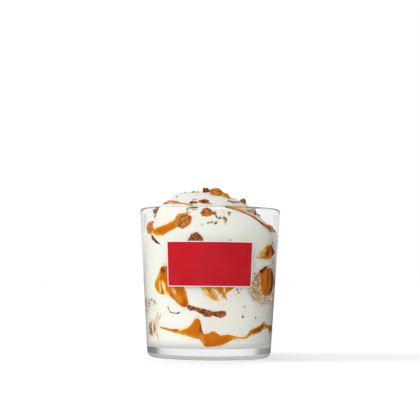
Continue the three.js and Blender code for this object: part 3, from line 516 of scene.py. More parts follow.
def granules(points, size, seed=0):
    """How near the nearest of scattered centres is, how far it is from a seam between two, and its number."""
    place = points / size
    cell = np.floor(place).astype(np.int64)
    first = np.full(points.shape[:-1], 9.0)
    second = first.copy()
    number = np.zeros_like(first)
    for offset in np.ndindex(3, 3, 3):
        near = cell + np.array(offset) - 1
        centre = near + np.stack([hashed(near, seed + k) for k in (1, 2, 3)], -1)
        distance = np.linalg.norm(place - centre, axis=-1)
        closer = distance < first
        second = np.where(closer, first, np.minimum(second, distance))
        number = np.where(closer, hashed(near, seed + 4), number)
        first = np.where(closer, distance, first)
    return first, second - first, number


# ---- the shape of the glass and of the soft serve ----
contact_height = Curve(CONTACT_HEIGHT)
shoulder_power = Curve(SHOULDER_POWER)


def outer_radius(height):
    return GLASS_RADIUS_AT_FOOT + GLASS_TAPER * height


def inner_radius(height):
    return outer_radius(height) - mix(WALL_AT_FOOT, WALL_AT_RIM, height / GLASS_HEIGHT)


CORNER_TOP = BASE_THICKNESS + FLOOR_RADIUS
CORNER_CENTRE = inner_radius(CORNER_TOP) - FLOOR_RADIUS
MM_PER_DEGREE = math.radians(1) * 38  # along the inner wall, near enough


def room_radius(height):
    """The inside of the glass, with the rounded corner of its floor."""
    below = np.clip(CORNER_TOP - np.asarray(height, float), 0, FLOOR_RADIUS)
    corner = CORNER_CENTRE + np.sqrt(FLOOR_RADIUS**2 - below**2)
    return np.where(below > 0, corner, inner_radius(height))


def crease_radius(crease, at):
    leaning = crease["lean"] * np.cos(np.radians(at - crease["toward"]))
    oval = crease["oval"] * np.cos(2 * np.radians(at - crease["along"]))
    return crease["radius"] + leaning + oval


def crease_depth(crease, at):
    return mix(SHALLOWEST, 1, 0.5 + 0.5 * np.cos(np.radians(at - crease["deepest"])))


def fold_lift(radius, at):
    rim = inner_radius(contact_height(at)) - GAP
    outer, inner = (crease_radius(crease, at) for crease in CREASES)
    outer_depth, inner_depth = (crease_depth(crease, at) for crease in CREASES)
    on_rim = radius >= outer
    on_top = radius < inner
    across = np.where(
        on_rim,
        (rim - radius) / (rim - outer),
        np.where(on_top, (inner - radius) / inner, (outer - radius) / (outer - inner)),
    )
    off_crest = np.where(on_rim, np.maximum(across, 0), np.where(on_top, 1 - across, abs(2 * across - 1)))
    calm = np.where(on_rim, np.clip(2.5 * across, 0, 1), 1)
    outside = np.where(on_top, inner_depth, outer_depth)
    inside = np.where(on_rim, outer_depth, inner_depth)
    depth = FOLD_DEPTH * mix(outside, inside, smooth(across, 0.2, 0.8))
    return depth * (1 - np.clip(off_crest, 0, 1) ** FOLD_ROUNDNESS - FOLD_CREST) * calm


def dome_height(radius, at):
    at = wrapped(at)
    edge = contact_height(at)
    t = np.minimum(1, radius / (inner_radius(edge) - GAP))
    fall = DOME_SLOPE * t + (1 - DOME_SLOPE) * t ** shoulder_power(at)
    return PEAK_HEIGHT - (PEAK_HEIGHT - edge) * fall + fold_lift(radius, at)


def near_line(at, height, line, half_width, feather):
    """1 on a painted line across the wall, falling to 0 over the feather beside it."""
    place = np.stack([wrapped(at) * MM_PER_DEGREE, height], -1)
    path = [np.array((a * MM_PER_DEGREE, z)) for a, z in line]
    best = np.full(place.shape[:-1], 99.0)
    for start, end in zip(path, path[1:]):
        along = end - start
        t = np.clip(((place - start) @ along) / (along @ along), 0, 1)
        best = np.minimum(best, np.linalg.norm(place - start - t[..., None] * along, axis=-1))
    return 1 - smooth(best, half_width, half_width + feather)


def painted(at, height, strokes):
    """The strongest of several strokes: (line, half width, feather, strength)."""
    total = np.zeros(np.shape(at))
    for line, half_width, feather, strength in strokes:
        total = np.maximum(total, strength * near_line(at, height, line, half_width, feather))
    return total


def outside_layer(stations, at, height):
    """How far a place on the wall is outside a layer's outline, in millimetres, negative inside."""
    low, high = Curve(stations, 1), Curve(stations, 2)
    middle = (stations[0][0] + stations[-1][0]) / 2
    turned = wrapped(np.asarray(at, float) - middle) + middle
    beside = np.maximum(stations[0][0] - turned, turned - stations[-1][0]) * MM_PER_DEGREE
    above = np.maximum(low(turned) - height, height - high(turned))
    return np.where(beside > 0, np.hypot(beside, np.maximum(above, 0)), above)


# ---- materials ----
class Finish:
    """A node tree built a node at a time, for a new material or for the world."""

    def __init__(self, name, world=None):
        self.owner = world or bpy.data.materials.new(name)
        self.owner.use_nodes = True
        self.tree = self.owner.node_tree
        self.tree.nodes.clear()
        self.output = self.node("OutputWorld" if world else "OutputMaterial")
        self.place = self.node("TexCoord").outputs["Generated" if world else "Object"]

    def put(self, value, socket):
        if isinstance(value, bpy.types.NodeSocket):
            self.tree.links.new(value, socket)
        else:
            socket.default_value = value

    def node(self, kind, settings=None, **inputs):
        """A node, with sockets filled by their names or, as i0 and so on, by their places."""
        made = self.tree.nodes.new("ShaderNode" + kind)
        for key, value in (settings or {}).items():
            setattr(made, key, value)
        for key, value in inputs.items():
            self.put(value, made.inputs[int(key[1:]) if key[1:].isdigit() else key.replace("_", " ")])
        return made

    def noise(self, size, detail=2.0, roughness=0.5, stretch=(1, 1, 1)):
        """Noise from 0 to 1 with features of a size in millimetres."""
        place = self.node("Mapping", Vector=self.place, Scale=stretch).outputs[0]
        made = self.node("TexNoise", Vector=place, Scale=1 / (size * MM), Detail=detail, Roughness=roughness)
        return made.outputs["Fac"]

    def attribute(self, name):
        return self.node("Attribute", {"attribute_name": name}).outputs["Fac"]

    def math(self, operation, a, b=0.0, c=0.0, clamp=False):
        settings = {"operation": operation, "use_clamp": clamp}
        return self.node("Math", settings, i0=a, i1=b, i2=c).outputs[0]

    def plus(self, a, b, clamp=False):
        return self.math("ADD", a, b, clamp=clamp)

    def times(self, a, b):
        return self.math("MULTIPLY", a, b)

    def above(self, value, limit=0.5):
        return self.math("GREATER_THAN", value, limit)

    def spread(self, value, low, high, start=0.0, end=1.0):
        made = self.node(
            "MapRange", {"clamp": True}, Value=value, From_Min=low, From_Max=high, To_Min=start, To_Max=end
        )
        return made.outputs[0]

    def vary(self, noise, start, end):
        """The usual range of a noise, spread from start to end."""
        return self.spread(noise, 0.3, 0.7, start, end)

    def ramp(self, value, stops):
        made = self.node("ValToRGB", Fac=value)
        elements = made.color_ramp.elements
        while len(elements) < len(stops):
            elements.new(0.5)
        for element, (position, colour) in zip(elements, stops):
            element.position = position
            element.color = (*colour, 1)
        return made.outputs["Color"]

    def blend(self, share, a, b, way="MIX"):
        made = self.node("Mix", {"data_type": "RGBA", "blend_type": way})
        for key, value in (("Factor", share), ("A", a), ("B", b)):
            value = (*value, 1) if isinstance(value, tuple) else value
            self.put(value, next(s for s in made.inputs if s.name == key and s.enabled))
        return next(s for s in made.outputs if s.enabled)

    def surface(self, colour, roughness, bump=None, **inputs):
        """A surface shader. The bump is given as height, depth in millimetres and strength."""
        if bump:
            height, depth, strength = bump
            bump = self.node("Bump", Height=height, Distance=depth * MM, Strength=strength)
            inputs["Normal"] = bump.outputs[0]
        return self.node("BsdfPrincipled", Base_Color=colour, Roughness=roughness, **inputs)

    def either(self, share, a, b):
        return self.node("MixShader", i0=share, i1=a.outputs[0], i2=b.outputs[0])

    def finish(self, shader):
        self.tree.links.new(shader.outputs[0], self.output.inputs["Surface"])
        return self.owner


def cream_finish():
    f = Finish("soft_serve_finish")
    broad, fine = f.noise(9, 3), f.noise(0.8, 3)
    colour = f.ramp(broad, [(0.3, CREAM_WARM), (0.7, CREAM_COOL)])
    colour = f.blend(f.attribute("stain"), colour, CREAM_STAIN)
    colour = f.blend(f.attribute("dust"), colour, CREAM_DUST)
    speckle = f.spread(f.noise(0.7, 1), 0.7, 0.78)
    return f.finish(f.surface(
        f.blend(f.times(speckle, f.attribute("speckle")), colour, SPECKLE),
        f.vary(fine, 0.34, 0.5),
        (f.plus(f.times(broad, 2.0), fine), 0.12, 0.35),
        Specular_IOR_Level=0.3,
        Subsurface_Weight=0.25,
        Subsurface_Radius=(1.0, 0.8, 0.55),
        Subsurface_Scale=0.0025,
    ))


def caramel_finish(name, specular, coat):
    """Caramel: dull where it is pressed against the glass, glossy where it lies open."""
    f = Finish(name)
    swirl = f.noise(3.4, 3, 0.55, (1, 1, 0.6))
    thin = f.noise(0.9, 2, 0.5, (0.6, 0.6, 1.4))
    tone = f.plus(f.spread(f.attribute("edge"), 0.0, 1.8, 0.3, 0.68), f.vary(swirl, -0.1, 0.12))
    tone = f.plus(tone, f.vary(thin, -0.05, 0.05))
    # Darker where the dark marks lie: deeper caramel, and painted shade in creases, at fold edges and along
    # the sides of drizzles.
    tone = f.plus(tone, f.times(f.attribute("dark"), 0.6))
    tone = f.math("SUBTRACT", tone, f.times(f.attribute("pale"), 0.5), clamp=True)
    return f.finish(f.surface(
        f.blend(f.attribute("white"), f.ramp(tone, CARAMEL_TONES), CREAM_STREAK),
        f.vary(thin, 0.16, 0.26),
        (swirl, 0.25, 0.4),
        Specular_IOR_Level=specular,
        Subsurface_Weight=0.12,
        Subsurface_Radius=(1.0, 0.45, 0.1),
        Subsurface_Scale=0.0015,
        Coat_Weight=coat,
        Coat_Roughness=0.12,
    ))


def biscuit_finish():
    f = Finish("biscuit_finish")
    broad, fine = f.noise(2.2, 3, 0.6), f.noise(0.45, 3, 0.6)
    tone = f.plus(f.times(f.attribute("grain"), 0.4), f.vary(broad, 0.06, 0.44))
    tone = f.plus(tone, f.vary(fine, -0.14, 0.16))
    # Painted shade: darker in the splits and cracks of the biscuit.
    tone = f.math("SUBTRACT", tone, f.times(f.attribute("pit"), 0.62), clamp=True)
    colour = f.blend(f.attribute("dull"), f.ramp(tone, BISCUIT_TONES), f.ramp(tone, DULL_TONES))
    colour = f.blend(f.attribute("glaze"), colour, f.ramp(tone, GLAZE_TONES))
    bump = (f.plus(fine, broad), 0.22, 0.7)
    return f.finish(f.surface(colour, f.vary(fine, 0.62, 0.9), bump, Specular_IOR_Level=0.08))


def crumb_finish():
    f = Finish("crumb_finish")
    fine = f.noise(0.35, 3, 0.6)
    colour = f.ramp(f.plus(f.attribute("grain"), f.vary(fine, -0.16, 0.16), clamp=True), CRUMB_TONES)
    return f.finish(f.surface(colour, f.vary(fine, 0.6, 0.9), (fine, 0.15, 0.6), Specular_IOR_Level=0.08))


def label_finish():
    f = Finish("label_finish")
    fibre = f.noise(0.5, 4, 0.6, (1, 1, 2.2))
    red = f.ramp(f.noise(11, 2), [(0.35, LABEL_RED_DEEP), (0.65, LABEL_RED)])
    red = f.blend(f.spread(fibre, 0.35, 0.65, 0, 0.1), red, LABEL_RED_LIGHT)
    printed = f.spread(f.attribute("inset"), LABEL_BORDER - 0.06, LABEL_BORDER + 0.06)
    colour = f.blend(printed, LABEL_PALE, red)
    return f.finish(f.surface(colour, f.vary(fibre, 0.3, 0.42), (fibre, 0.03, 0.35), Specular_IOR_Level=0.3))


def glass_finish():
    """Clear glass, with painted shade where its wall is seen edge-on and along its lip. Rays from lamps pass
    straight through, so that they light what is inside.
    """
    f = Finish("glass_finish")
    facing = f.node("LayerWeight", Blend=0.5).outputs["Facing"]
    height = f.node("SeparateXYZ", Vector=f.place).outputs["Z"]
    lip = f.spread(height, (GLASS_HEIGHT - LIP_DEPTH) * MM, (GLASS_HEIGHT - 0.3) * MM)
    foot = f.spread(height, (BASE_THICKNESS + 1) * MM, (BASE_THICKNESS - 1) * MM)
    # Painted shade: darker where the wall is seen edge-on, and along the lip band.
    tint_and_edge_shade = f.blend(foot, f.ramp(facing, GLASS_TINT_AND_EDGE_SHADE), FOOT_TINT, "MULTIPLY")
    colour = f.blend(lip, tint_and_edge_shade, LIP_SHADE_LINE)
    smear, wave = f.vary(f.noise(6, 2), 0.0, 0.02), (f.noise(14, 1), 0.04, 0.2)
    glass = f.surface(colour, smear, wave, IOR=1.5, Transmission_Weight=1.0)
    clear = f.node("BsdfTransparent", Color=(0.93, 0.94, 0.94, 1))
    return f.finish(f.either(f.node("LightPath").outputs["Is Shadow Ray"], glass, clear))


# ---- making pieces ----
def outward(points, faces):
    """Whether the faces of a closed mesh have their outsides out."""
    volume = 0.0
    for face in faces:
        first = points[face[:, 0]]
        for k in range(1, face.shape[1] - 1):
            volume += np.einsum("ij,ij->", first, np.cross(points[face[:, k]], points[face[:, k + 1]]))
    return volume >= 0


def placed(name, data):
    """A new object in the scene."""
    made = bpy.data.objects.new(name, data)
    bpy.context.scene.collection.objects.link(made)
    return made


def piece(name, points, faces, slot, finish, attributes=None, replaces=()):
    """A closed mesh from points in millimetres and a list of face arrays, riding on the root body."""
    if not outward(points, faces):
        faces = [f[:, ::-1] for f in faces]
    mesh = bpy.data.meshes.new(name)
    mesh.from_pydata((points * MM).tolist(), [], [row for f in faces for row in f.tolist()])
    for key, values in (attributes or {}).items():
        layer = mesh.attributes.new(key, "FLOAT", "POINT")
        layer.data.foreach_set("value", np.asarray(values, np.float32))
    mesh.shade_smooth()
    mesh.materials.append(finish)
    made = placed(name, mesh)
    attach(made, "root")
    if replaces:
        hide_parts(*replaces)


def skin(rings, crossed=False):
    """Points and faces of a closed skin over rings of equal length, capped by a point at each end.

    Crossed rings are lines along the skin, each with one point for every ring.
    """
    rings = np.array(rings)
    if crossed:
        rings = rings.transpose(1, 0, 2)
    count, around = rings.shape[:2]
    points = np.concatenate([rings.reshape(-1, 3), rings[:1].mean(1), rings[-1:].mean(1)])
    index = np.arange(count * around).reshape(count, around)
    turned = np.roll(index, -1, axis=1)
    quads = np.stack([index[:-1], turned[:-1], turned[1:], index[1:]], -1).reshape(-1, 4)
    start, end = count * around, count * around + 1
    caps = np.concatenate([
        np.stack([np.full(around, start), turned[0], index[0]], -1),
        np.stack([np.full(around, end), index[-1], turned[-1]], -1),
    ])
    return points, [quads, caps]


def joined(parts):
    """Several (points, faces) as one."""
    faces, count = [], 0
    for part_points, part_faces in parts:
        faces += [f + count for f in part_faces]
        count += len(part_points)
    return np.concatenate([part[0] for part in parts]), faces


def repeated(parts, values):
    """One value for each part, given to each of its points."""
    return np.repeat(values, [len(part[0]) for part in parts])


def arc(centre, height, radius, start, end, steps):
    angle = np.radians(np.linspace(start, end, steps + 1))
    return [(centre + radius * math.cos(a), height + radius * math.sin(a)) for a in angle]


def make_glass():
    lip = WALL_AT_RIM / 2
    lip_height = GLASS_HEIGHT - lip
    profile = [
        *[(r, 0.0) for r in (0.5, 8, 16, 24, 30)],
        *arc(outer_radius(HEEL_RADIUS) - HEEL_RADIUS, HEEL_RADIUS, HEEL_RADIUS, -90, 0, 10),
        *[(outer_radius(z), z) for z in np.linspace(HEEL_RADIUS + 4, lip_height - 3, 24)],
        *arc(outer_radius(lip_height) - lip, lip_height, lip, 0, 180, 14),
        *[(inner_radius(z), z) for z in np.linspace(lip_height - 3, CORNER_TOP + 3, 24)],
        *arc(CORNER_CENTRE, CORNER_TOP, FLOOR_RADIUS, 0, -90, 12),
        *[(r, BASE_THICKNESS) for r in (24, 16, 8, 0.5)],
    ]
    at = np.linspace(-180, 180, GLASS_COLUMNS, endpoint=False)
    points, faces = skin([polar(at, r, z) for r, z in profile])
    piece("tumbler", points, faces, "glass", glass_finish(), replaces=["glass"])


class WallMap:
    """Which places of the inner wall are taken by pieces pressed against it."""

    def __init__(self):
        self.taken = np.zeros((int(360 * MM_PER_DEGREE / MAP_CELL) + 1, int(110 / MAP_CELL)), bool)

    def cells(self, at, height):
        across = (((np.asarray(at) + 180) % 360) * MM_PER_DEGREE / MAP_CELL).astype(int)
        return across, np.clip(height / MAP_CELL, 0, self.taken.shape[1] - 1).astype(int)

    def add(self, points):
        points = points[radius_of(points) > room_radius(points[:, 2]) - 0.7]
        self.taken[self.cells(angle_of(points), points[:, 2])] = True

    def changed(self, grow, shrink):
        """The map with small holes closed, and its edges then drawn in."""
        result = self.taken
        for join, steps in ((np.logical_or, grow), (np.logical_and, shrink)):
            for _ in range(steps):
                wide = join(join(result, np.roll(result, 1, 0)), np.roll(result, -1, 0))
                result = join(join(wide, np.roll(wide, 1, 1)), np.roll(wide, -1, 1))
        return result


def make_cream(wall_map):
    """The soft serve, drawn in behind what lies against the glass in front of it."""
    at = np.linspace(-180, 180, CREAM_COLUMNS, endpoint=False)
    edge = contact_height(at) + 0.25 * ripple(polar(at, 40, 0), 5, 3, 2)
    rings = [polar(at, r, BASE_THICKNESS - CREAM_BITE) for r in (1, 9, 17, 24, 29)]
    corner = arc(CORNER_CENTRE, CORNER_TOP, FLOOR_RADIUS + CREAM_BITE, -90, 0, 9)
    rings += [polar(at, r, z) for r, z in corner]
    for k in range(1, WALL_ROWS + 1):
        height = mix(CORNER_TOP, edge, k / WALL_ROWS)
        hollow = np.zeros_like(at)
        for line, half_width, depth in WALL_FOLDS:
            hollow = np.maximum(hollow, (depth + CREAM_BITE) * near_line(at, height, line, half_width, 0.5))
        lip = 0.5 * smooth(height, edge - 0.9, edge + 0.2)
        rings.append(polar(at, inner_radius(height) + CREAM_BITE - hollow - lip, height))
    rim = inner_radius(edge) - 0.25
    for k in range(1, DOME_ROWS + 1):
        radius = np.maximum(rim * (1 - k / (DOME_ROWS + 0.5)), 0.2)
        height = dome_height(radius, at)
        flat = polar(at, radius, height)
        calm = smooth(rim - radius, 0, 3)
        height = height + calm * (0.28 * ripple(flat, 7, 5, 2) + 0.1 * ripple(flat, 1.6, 6, 2))
        rings.append(polar(at, radius, height + (edge - contact_height(at)) * (1 - calm)))
    points, faces = skin(rings)
    place, height = angle_of(points), points[:, 2]
    on_wall = radius_of(points) > room_radius(height) - 1.5
    covered = wall_map.changed(2, 4)[wall_map.cells(place, height)]
    under = covered & on_wall & (height < contact_height(place) + 1)
    points[:, :2] *= np.where(under, 1 - CREAM_DRAWN_IN, 1)[:, None]
    blotch = smooth(ripple(points, 2.6, 8, 2), -0.6, 0.8)

    def beside(layers, strength, reach):
        nearest = np.min([outside_layer(stations, place, height) for stations in layers.values()], 0)
        return strength * (1 - smooth(nearest, 0, reach))

    stain = np.maximum(painted(place, height, STAINS), beside(CARAMEL_LAYERS, 0.55, 1.3))
    attributes = {
        "stain": stain * blotch * on_wall,
        "dust": beside(CRUMB_LAYERS, 0.4, 2.4) * blotch * on_wall,
        "speckle": painted(place, height, SPECKLED),
    }
    piece("soft_serve_swirl", points, faces, "cream", cream_finish(), attributes, ["soft_serve"])


def layer_skin(stations, bite, seed, roughness):
    """A layer: a fine face against the glass, and a coarse body running inward."""
    start, end = stations[0][0], stations[-1][0]
    at = np.linspace(start, end, int((end - start) / LAYER_STEP) + 2)
    low, high, depth = (Curve(stations, k)(at) for k in (1, 2, 3))
    rough = roughness * np.minimum(1, (high - low) / 4)
    around = polar(at, 38, 0)
    low = low + rough * ripple(around + [0, 0, 11], 3.2, seed, 3)
    high = high + rough * ripple(around + [0, 0, 53], 3.2, seed + 9, 3)
    low = np.maximum(low, BASE_THICKNESS + 0.2)
    middle = (low + high) / 2
    rings = []
    for share in np.linspace(0, 1, FACE_ROWS):
        height = mix(low, high, share)
        lift = bite * np.minimum(1, 6 * min(share, 1 - share) + 0.2)
        sunk = (bite + 0.5) * (share in (0.0, 1.0))
        rings.append(polar(at, room_radius(height) + lift - sunk, height))
    body = [(0.12, 0.98), (0.45, 0.8), (1, LAYER_THINNING)]
    for edge, steps in ((high, body), (low, body[::-1])):
        for inward, thin in steps:
            height = np.maximum(mix(middle, edge, thin), BASE_THICKNESS + 0.3)
            rings.append(polar(at, room_radius(height) - depth * inward, height))
    return skin(rings, crossed=True)


def make_layer(name, stations, index, finish):
    points, faces = layer_skin(stations, CARAMEL_BITE, 20 + 7 * index, 0.16)
    place, height = angle_of(points), points[:, 2]
    open_to_glass = 1 - smooth(room_radius(height) - radius_of(points), 0.3, 1.5)
    inside = -outside_layer(stations, place, height)
    wander = 0.45 * ripple(points, 2.2, 31 + index, 2)
    streaky = 0.35 + 0.65 * smooth(ripple(points, 1.3, 51 + index, 2), -0.5, 0.3)
    attributes = {
        "edge": mix(3, np.clip(inside + wander, 0, 4), open_to_glass),
        "pale": painted(place + 1.5 * wander, height + wander, PALE) * open_to_glass,
        "white": painted(place + wander, height + 0.6 * wander, WHITE) * open_to_glass * streaky,
        # Dark marks: deeper caramel, and painted shade along creases and the edges of folds.
        "dark": painted(place, height, DARK),
    }
    piece(name + "_sauce", points, faces, "caramel", finish, attributes, [name])


def node_points(name, voxel):
    """A CAD node's shape as a fine even mesh: points in millimetres, normals and faces."""
    copy = placed("remeshed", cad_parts[name].data.copy())
    remesh = copy.modifiers.new("even", "REMESH")
    remesh.mode = "VOXEL"
    remesh.voxel_size = voxel * MM
    soften = copy.modifiers.new("soften", "SMOOTH")
    soften.factor = 0.5
    soften.iterations = 2
    evaluated = copy.evaluated_get(bpy.context.evaluated_depsgraph_get())
    mesh = evaluated.to_mesh()
    points, normals = np.empty((2, len(mesh.vertices) * 3))
    mesh.vertices.foreach_get("co", points)
    mesh.vertices.foreach_get("normal", normals)
    faces = {}
    for polygon in mesh.polygons:
        faces.setdefault(len(polygon.vertices), []).append(tuple(polygon.vertices))
    evaluated.to_mesh_clear()
    data = copy.data
    bpy.data.objects.remove(copy)
    bpy.data.meshes.remove(data)
    return points.reshape(-1, 3) / MM, normals.reshape(-1, 3), [np.array(f) for f in faces.values()]


def make_biscuit(name, finish, seed, wall_map):
    """A cracked, crumbly piece, flat and pitted where it is pressed against the glass."""
    low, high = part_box(name)
    large = max(high[k] - low[k] for k in range(3)) >= LARGE_BISCUIT * MM
    points, normals, faces = node_points(name, COARSE_MESH if large else FINE_MESH)
    nearness, seam, number = granules(points, 1.35, seed)
    split = 1 - smooth(seam, 0.0, 0.22)
    crack = 1 - smooth(abs(ripple(points, 2.6, seed + 7, 1)), 0.0, 0.1)
    relief = 0.2 * (1 - nearness) + 0.22 * ripple(points, 3.0, seed + 5, 2) - 0.3 * split - 0.3 * crack
    relief = relief + 0.08 * ripple(points, 0.6, seed + 8, 1)
    below_rim = points[:, 2] < GLASS_HEIGHT
    against = (room_radius(points[:, 2]) - radius_of(points) < BISCUIT_REACH) & below_rim
    shaped = points + normals * np.where(against, np.minimum(relief, 0), relief)[:, None]
    radius, wall = radius_of(shaped), room_radius(shaped[:, 2])
    pressed = (radius > wall - BISCUIT_REACH) & (shaped[:, 2] < GLASS_HEIGHT)
    hollow = 0.7 * split + 0.8 * crack + 0.2 * (1 - number)
    sink = np.where(against, np.clip(hollow - 0.35, 0, 1) * 0.9, 0)
    scaled_out(shaped, np.where(pressed, wall + BISCUIT_BITE, radius) - sink)
    wall_map.add(shaped)
    lighter, dull, glaze = BISCUIT_LOOKS.get(name, (0.0, 0.0, 0.0))
    attributes = {
        "grain": 0.25 + 0.75 * number + lighter / 0.4,
        # Splits and cracks, which the finish darkens as painted shade.
        "pit": np.clip(np.maximum(split, crack), 0, 1),
        "dull": np.full(len(shaped), dull),
        "glaze": np.full(len(shaped), glaze),
    }
    piece(name + "_piece", shaped, faces, "biscuit", finish, attributes, [name])


def ball():
    """Points and triangles of a round grain of radius 1."""
    made = bmesh.new()
    bmesh.ops.create_icosphere(made, subdivisions=2, radius=1.0)
    points = np.array([v.co[:] for v in made.verts])
    faces = np.array([[v.index for v in f.verts] for f in made.faces])
    made.free()
    return points, faces


def make_grains(name, places, finish, slot, bite=None):
    """Crumbs as one piece. Each place: (x, y, z, half size, tone)."""
    base, triangles = ball()
    random = np.random.default_rng(len(places) + 17)
    parts = []
    for k, (x, y, z, size, _) in enumerate(places):
        turn = Matrix.Rotation(random.uniform(0, 6.28), 3, Vector(random.normal(size=3)).normalized())
        shape = base * (1 + 0.22 * ripple(base * 1.3 + 10 * k, 0.9, k, 2))[:, None]
        for _ in range(4):
            normal = random.normal(size=3)
            normal /= np.linalg.norm(normal)
            over = np.maximum(shape @ normal - random.uniform(0.55, 0.8), 0)
            shape = shape - over[:, None] * normal
        shape = shape * size * random.uniform(0.7, 1.25, size=3)
        parts.append((shape @ np.array(turn) + (x, y, z), [triangles]))
    points, faces = joined(parts)
    if bite is not None:
        scaled_out(points, np.minimum(radius_of(points), room_radius(points[:, 2]) + bite))
    attributes = {"grain": repeated(parts, [place[4] for place in places]), "dull": np.full(len(points), 0.5)}
    piece(name, points, faces, slot, finish, attributes)


def make_crumb_layer(name, stations, finish, seed, wall_map):
    """A layer of loose crumbs in cream: a lumpy bed with grains pressed against the glass."""
    points, faces = layer_skin(stations, BED_BITE, seed, 0.5)
    _, seam, number = granules(points, 1.5, seed)
    split = 1 - smooth(seam, 0.0, 0.25)
    radius = radius_of(points)
    face = radius > room_radius(points[:, 2]) - 0.3
    scaled_out(points, radius - np.where(face, 0.6 * split + 0.35 * (number > 0.75), 0))
    wall_map.add(points)
    # Random tone for each grain, with painted shade darkening the seams between grains.
    tone = np.clip(0.78 + 0.7 * (number - 0.5) - 0.5 * split, 0, 1)
    piece(name + "_bed", points, faces, "crumb", finish, {"grain": tone}, [name])
    random = np.random.default_rng(seed)
    low, high = Curve(stations, 1), Curve(stations, 2)
    start, end = stations[0][0], stations[-1][0]
    places = []
    for _ in range(int((end - start) * GRAINS_PER_DEGREE)):
        angle = random.uniform(start + 1, end - 1)
        height = random.uniform(low(angle) - 0.6, high(angle) + 0.6)
        size = random.uniform(0.3, 0.85)
        if min(outside_layer(other, angle, height) for other in CARAMEL_LAYERS.values()) < 0.4:
            continue
        x, y, z = polar(angle, inner_radius(height) + CRUMB_BITE - 0.7 * size, height)
        places.append((x, y, z, size, random.choice([0.1, 0.4, 0.6, 0.8, 0.95, 0.95])))
    make_grains(name + "_grains", places, finish, "crumb", CRUMB_BITE)


def make_crumbs(finish):
    random = np.random.default_rng(5)
    at_glass = list(WALL_CRUMBS)
    for _ in range(STRAY_CRUMBS):
        angle = random.uniform(75, 285)
        height = random.uniform(14, 72)
        size = random.uniform(0.2, 0.7) * random.uniform(0.5, 1)
        at_glass.append((angle, height, size, random.uniform(0.1, 0.7)))
    places = []
    for at, height, size, tone in at_glass:
        places.append((*polar(at, inner_radius(height) + CRUMB_BITE - 0.6 * size, height), size, tone))
    make_grains("crumbs_at_glass", places, finish, "crumb", CRUMB_BITE)
    places = []
    for at, radius, reach, count, smallest, largest in DOME_CRUMBS:
        middle = polar(at, radius, 0)
        for _ in range(count):
            turn, away = random.uniform(0, 2 * math.pi), reach * math.sqrt(random.uniform(0, 1))
            x, y = middle[0] + away * math.cos(turn), middle[1] + away * math.sin(turn)
            distance = min(math.hypot(x, y), 38.2)
            angle = math.degrees(math.atan2(x, -y))
            size = mix(smallest, largest, random.uniform(0, 1) ** 2)
            x, y, z = polar(angle, distance, dome_height(distance, angle) + 0.45 * size)
            places.append((x, y, z, size, random.uniform(0.0, 0.55)))
    make_grains("crumbs_on_top", places, finish, "biscuit")


def path_through(stops, steps):
    """Places evenly along a line, and each of its columns there."""
    t = np.linspace(0, len(stops) - 1, steps * (len(stops) - 1) + 1)
    columns = [Curve([(k, stop[c]) for k, stop in enumerate(stops)])(t) for c in range(len(stops[0]))]
    return t, columns


def sideways(line):
    """The directions across a line in a plane."""
    along = np.gradient(line, axis=0)
    across = np.stack([-along[:, 1], along[:, 0]], -1)
    return across / np.linalg.norm(across, axis=1)[:, None]


def make_drizzles(finish):
    turns = np.radians(np.linspace(0, 360, DRIZZLE_SIDES, endpoint=False))
    parts, beside = [], []
    for index, stops in enumerate(DRIZZLES):
        _, (at, radius, half) = path_through(stops, DRIZZLE_STEPS)
        middle = polar(at, radius, 0)
        half = half * (1 + 0.22 * ripple(middle, 2.2, 60 + index, 2))
        across = np.pad(sideways(middle[:, :2]), ((0, 0), (0, 1)))
        rings = []
        for turn in turns:
            place = middle + across * (half * math.cos(turn))[:, None]
            reach = radius_of(place)
            lift = (0.62 if math.sin(turn) > 0 else 0.4) * half * math.sin(turn)
            place[:, 2] = dome_height(reach, angle_of(place)) + 0.1 + lift
            scaled_out(place, np.minimum(reach, room_radius(place[:, 2]) + STREAK_BITE))
            rings.append(place)
        parts.append(skin(rings, crossed=True))
        beside += [np.tile(abs(np.cos(turns)), len(middle)), [1, 1]]
    points, faces = joined(parts)
    beside = np.concatenate(beside)
    # Painted light and shade across each round thread: paler along its middle as a painted highlight, darker
    # along its sides as painted shade, with random patches added.
    attributes = {
        "edge": 0.9 + 0.5 * ripple(points, 3, 71, 2),
        "pale": 0.5 * (1 - beside) + smooth(ripple(points, 2.4, 72, 2), 0.3, 1.0) * 0.4,
        "white": np.zeros(len(points)),
        "dark": 0.8 * smooth(beside, 0.7, 1.0) + smooth(ripple(points, 3.2, 73, 2), 0.4, 1.0) * 0.4,
    }
    piece("caramel_drizzle", points, faces, "caramel", finish, attributes)


def thread(line, half_width):
    """A flattened thread pressed against the glass through (at, height) points."""
    t, (at, height) = path_through(line, THREAD_STEPS)
    taper = np.sqrt(np.clip(4 * (t / t[-1]) * (1 - t / t[-1]), 0.02, 1))
    flat = np.stack([at * MM_PER_DEGREE, height], -1)
    wobble = 1 + 0.3 * ripple(np.stack([*flat.T, 0 * at], -1), 1.8, int(abs(line[0][0]) * 10), 2)
    half = half_width * taper * wobble
    across = sideways(flat)
    rings = []
    for turn in np.radians(np.linspace(0, 360, THREAD_SIDES, endpoint=False)):
        place = flat + across * (half * math.cos(turn))[:, None]
        depth = STREAK_BITE if math.sin(turn) >= -0.1 else STREAK_BITE - 0.9
        rings.append(polar(place[:, 0] / MM_PER_DEGREE, room_radius(place[:, 1]) + depth, place[:, 1]))
    return skin(rings, crossed=True)


def make_threads(name, threads, slot, finish, *columns):
    """Threads as one piece. The named attributes take what rows hold after line and half width."""
    parts = [thread(row[0], row[1]) for row in threads]
    attributes = {key: repeated(parts, [row[k] for row in threads]) for k, key in enumerate(columns, 2)}
    piece(name, *joined(parts), slot, finish, attributes)


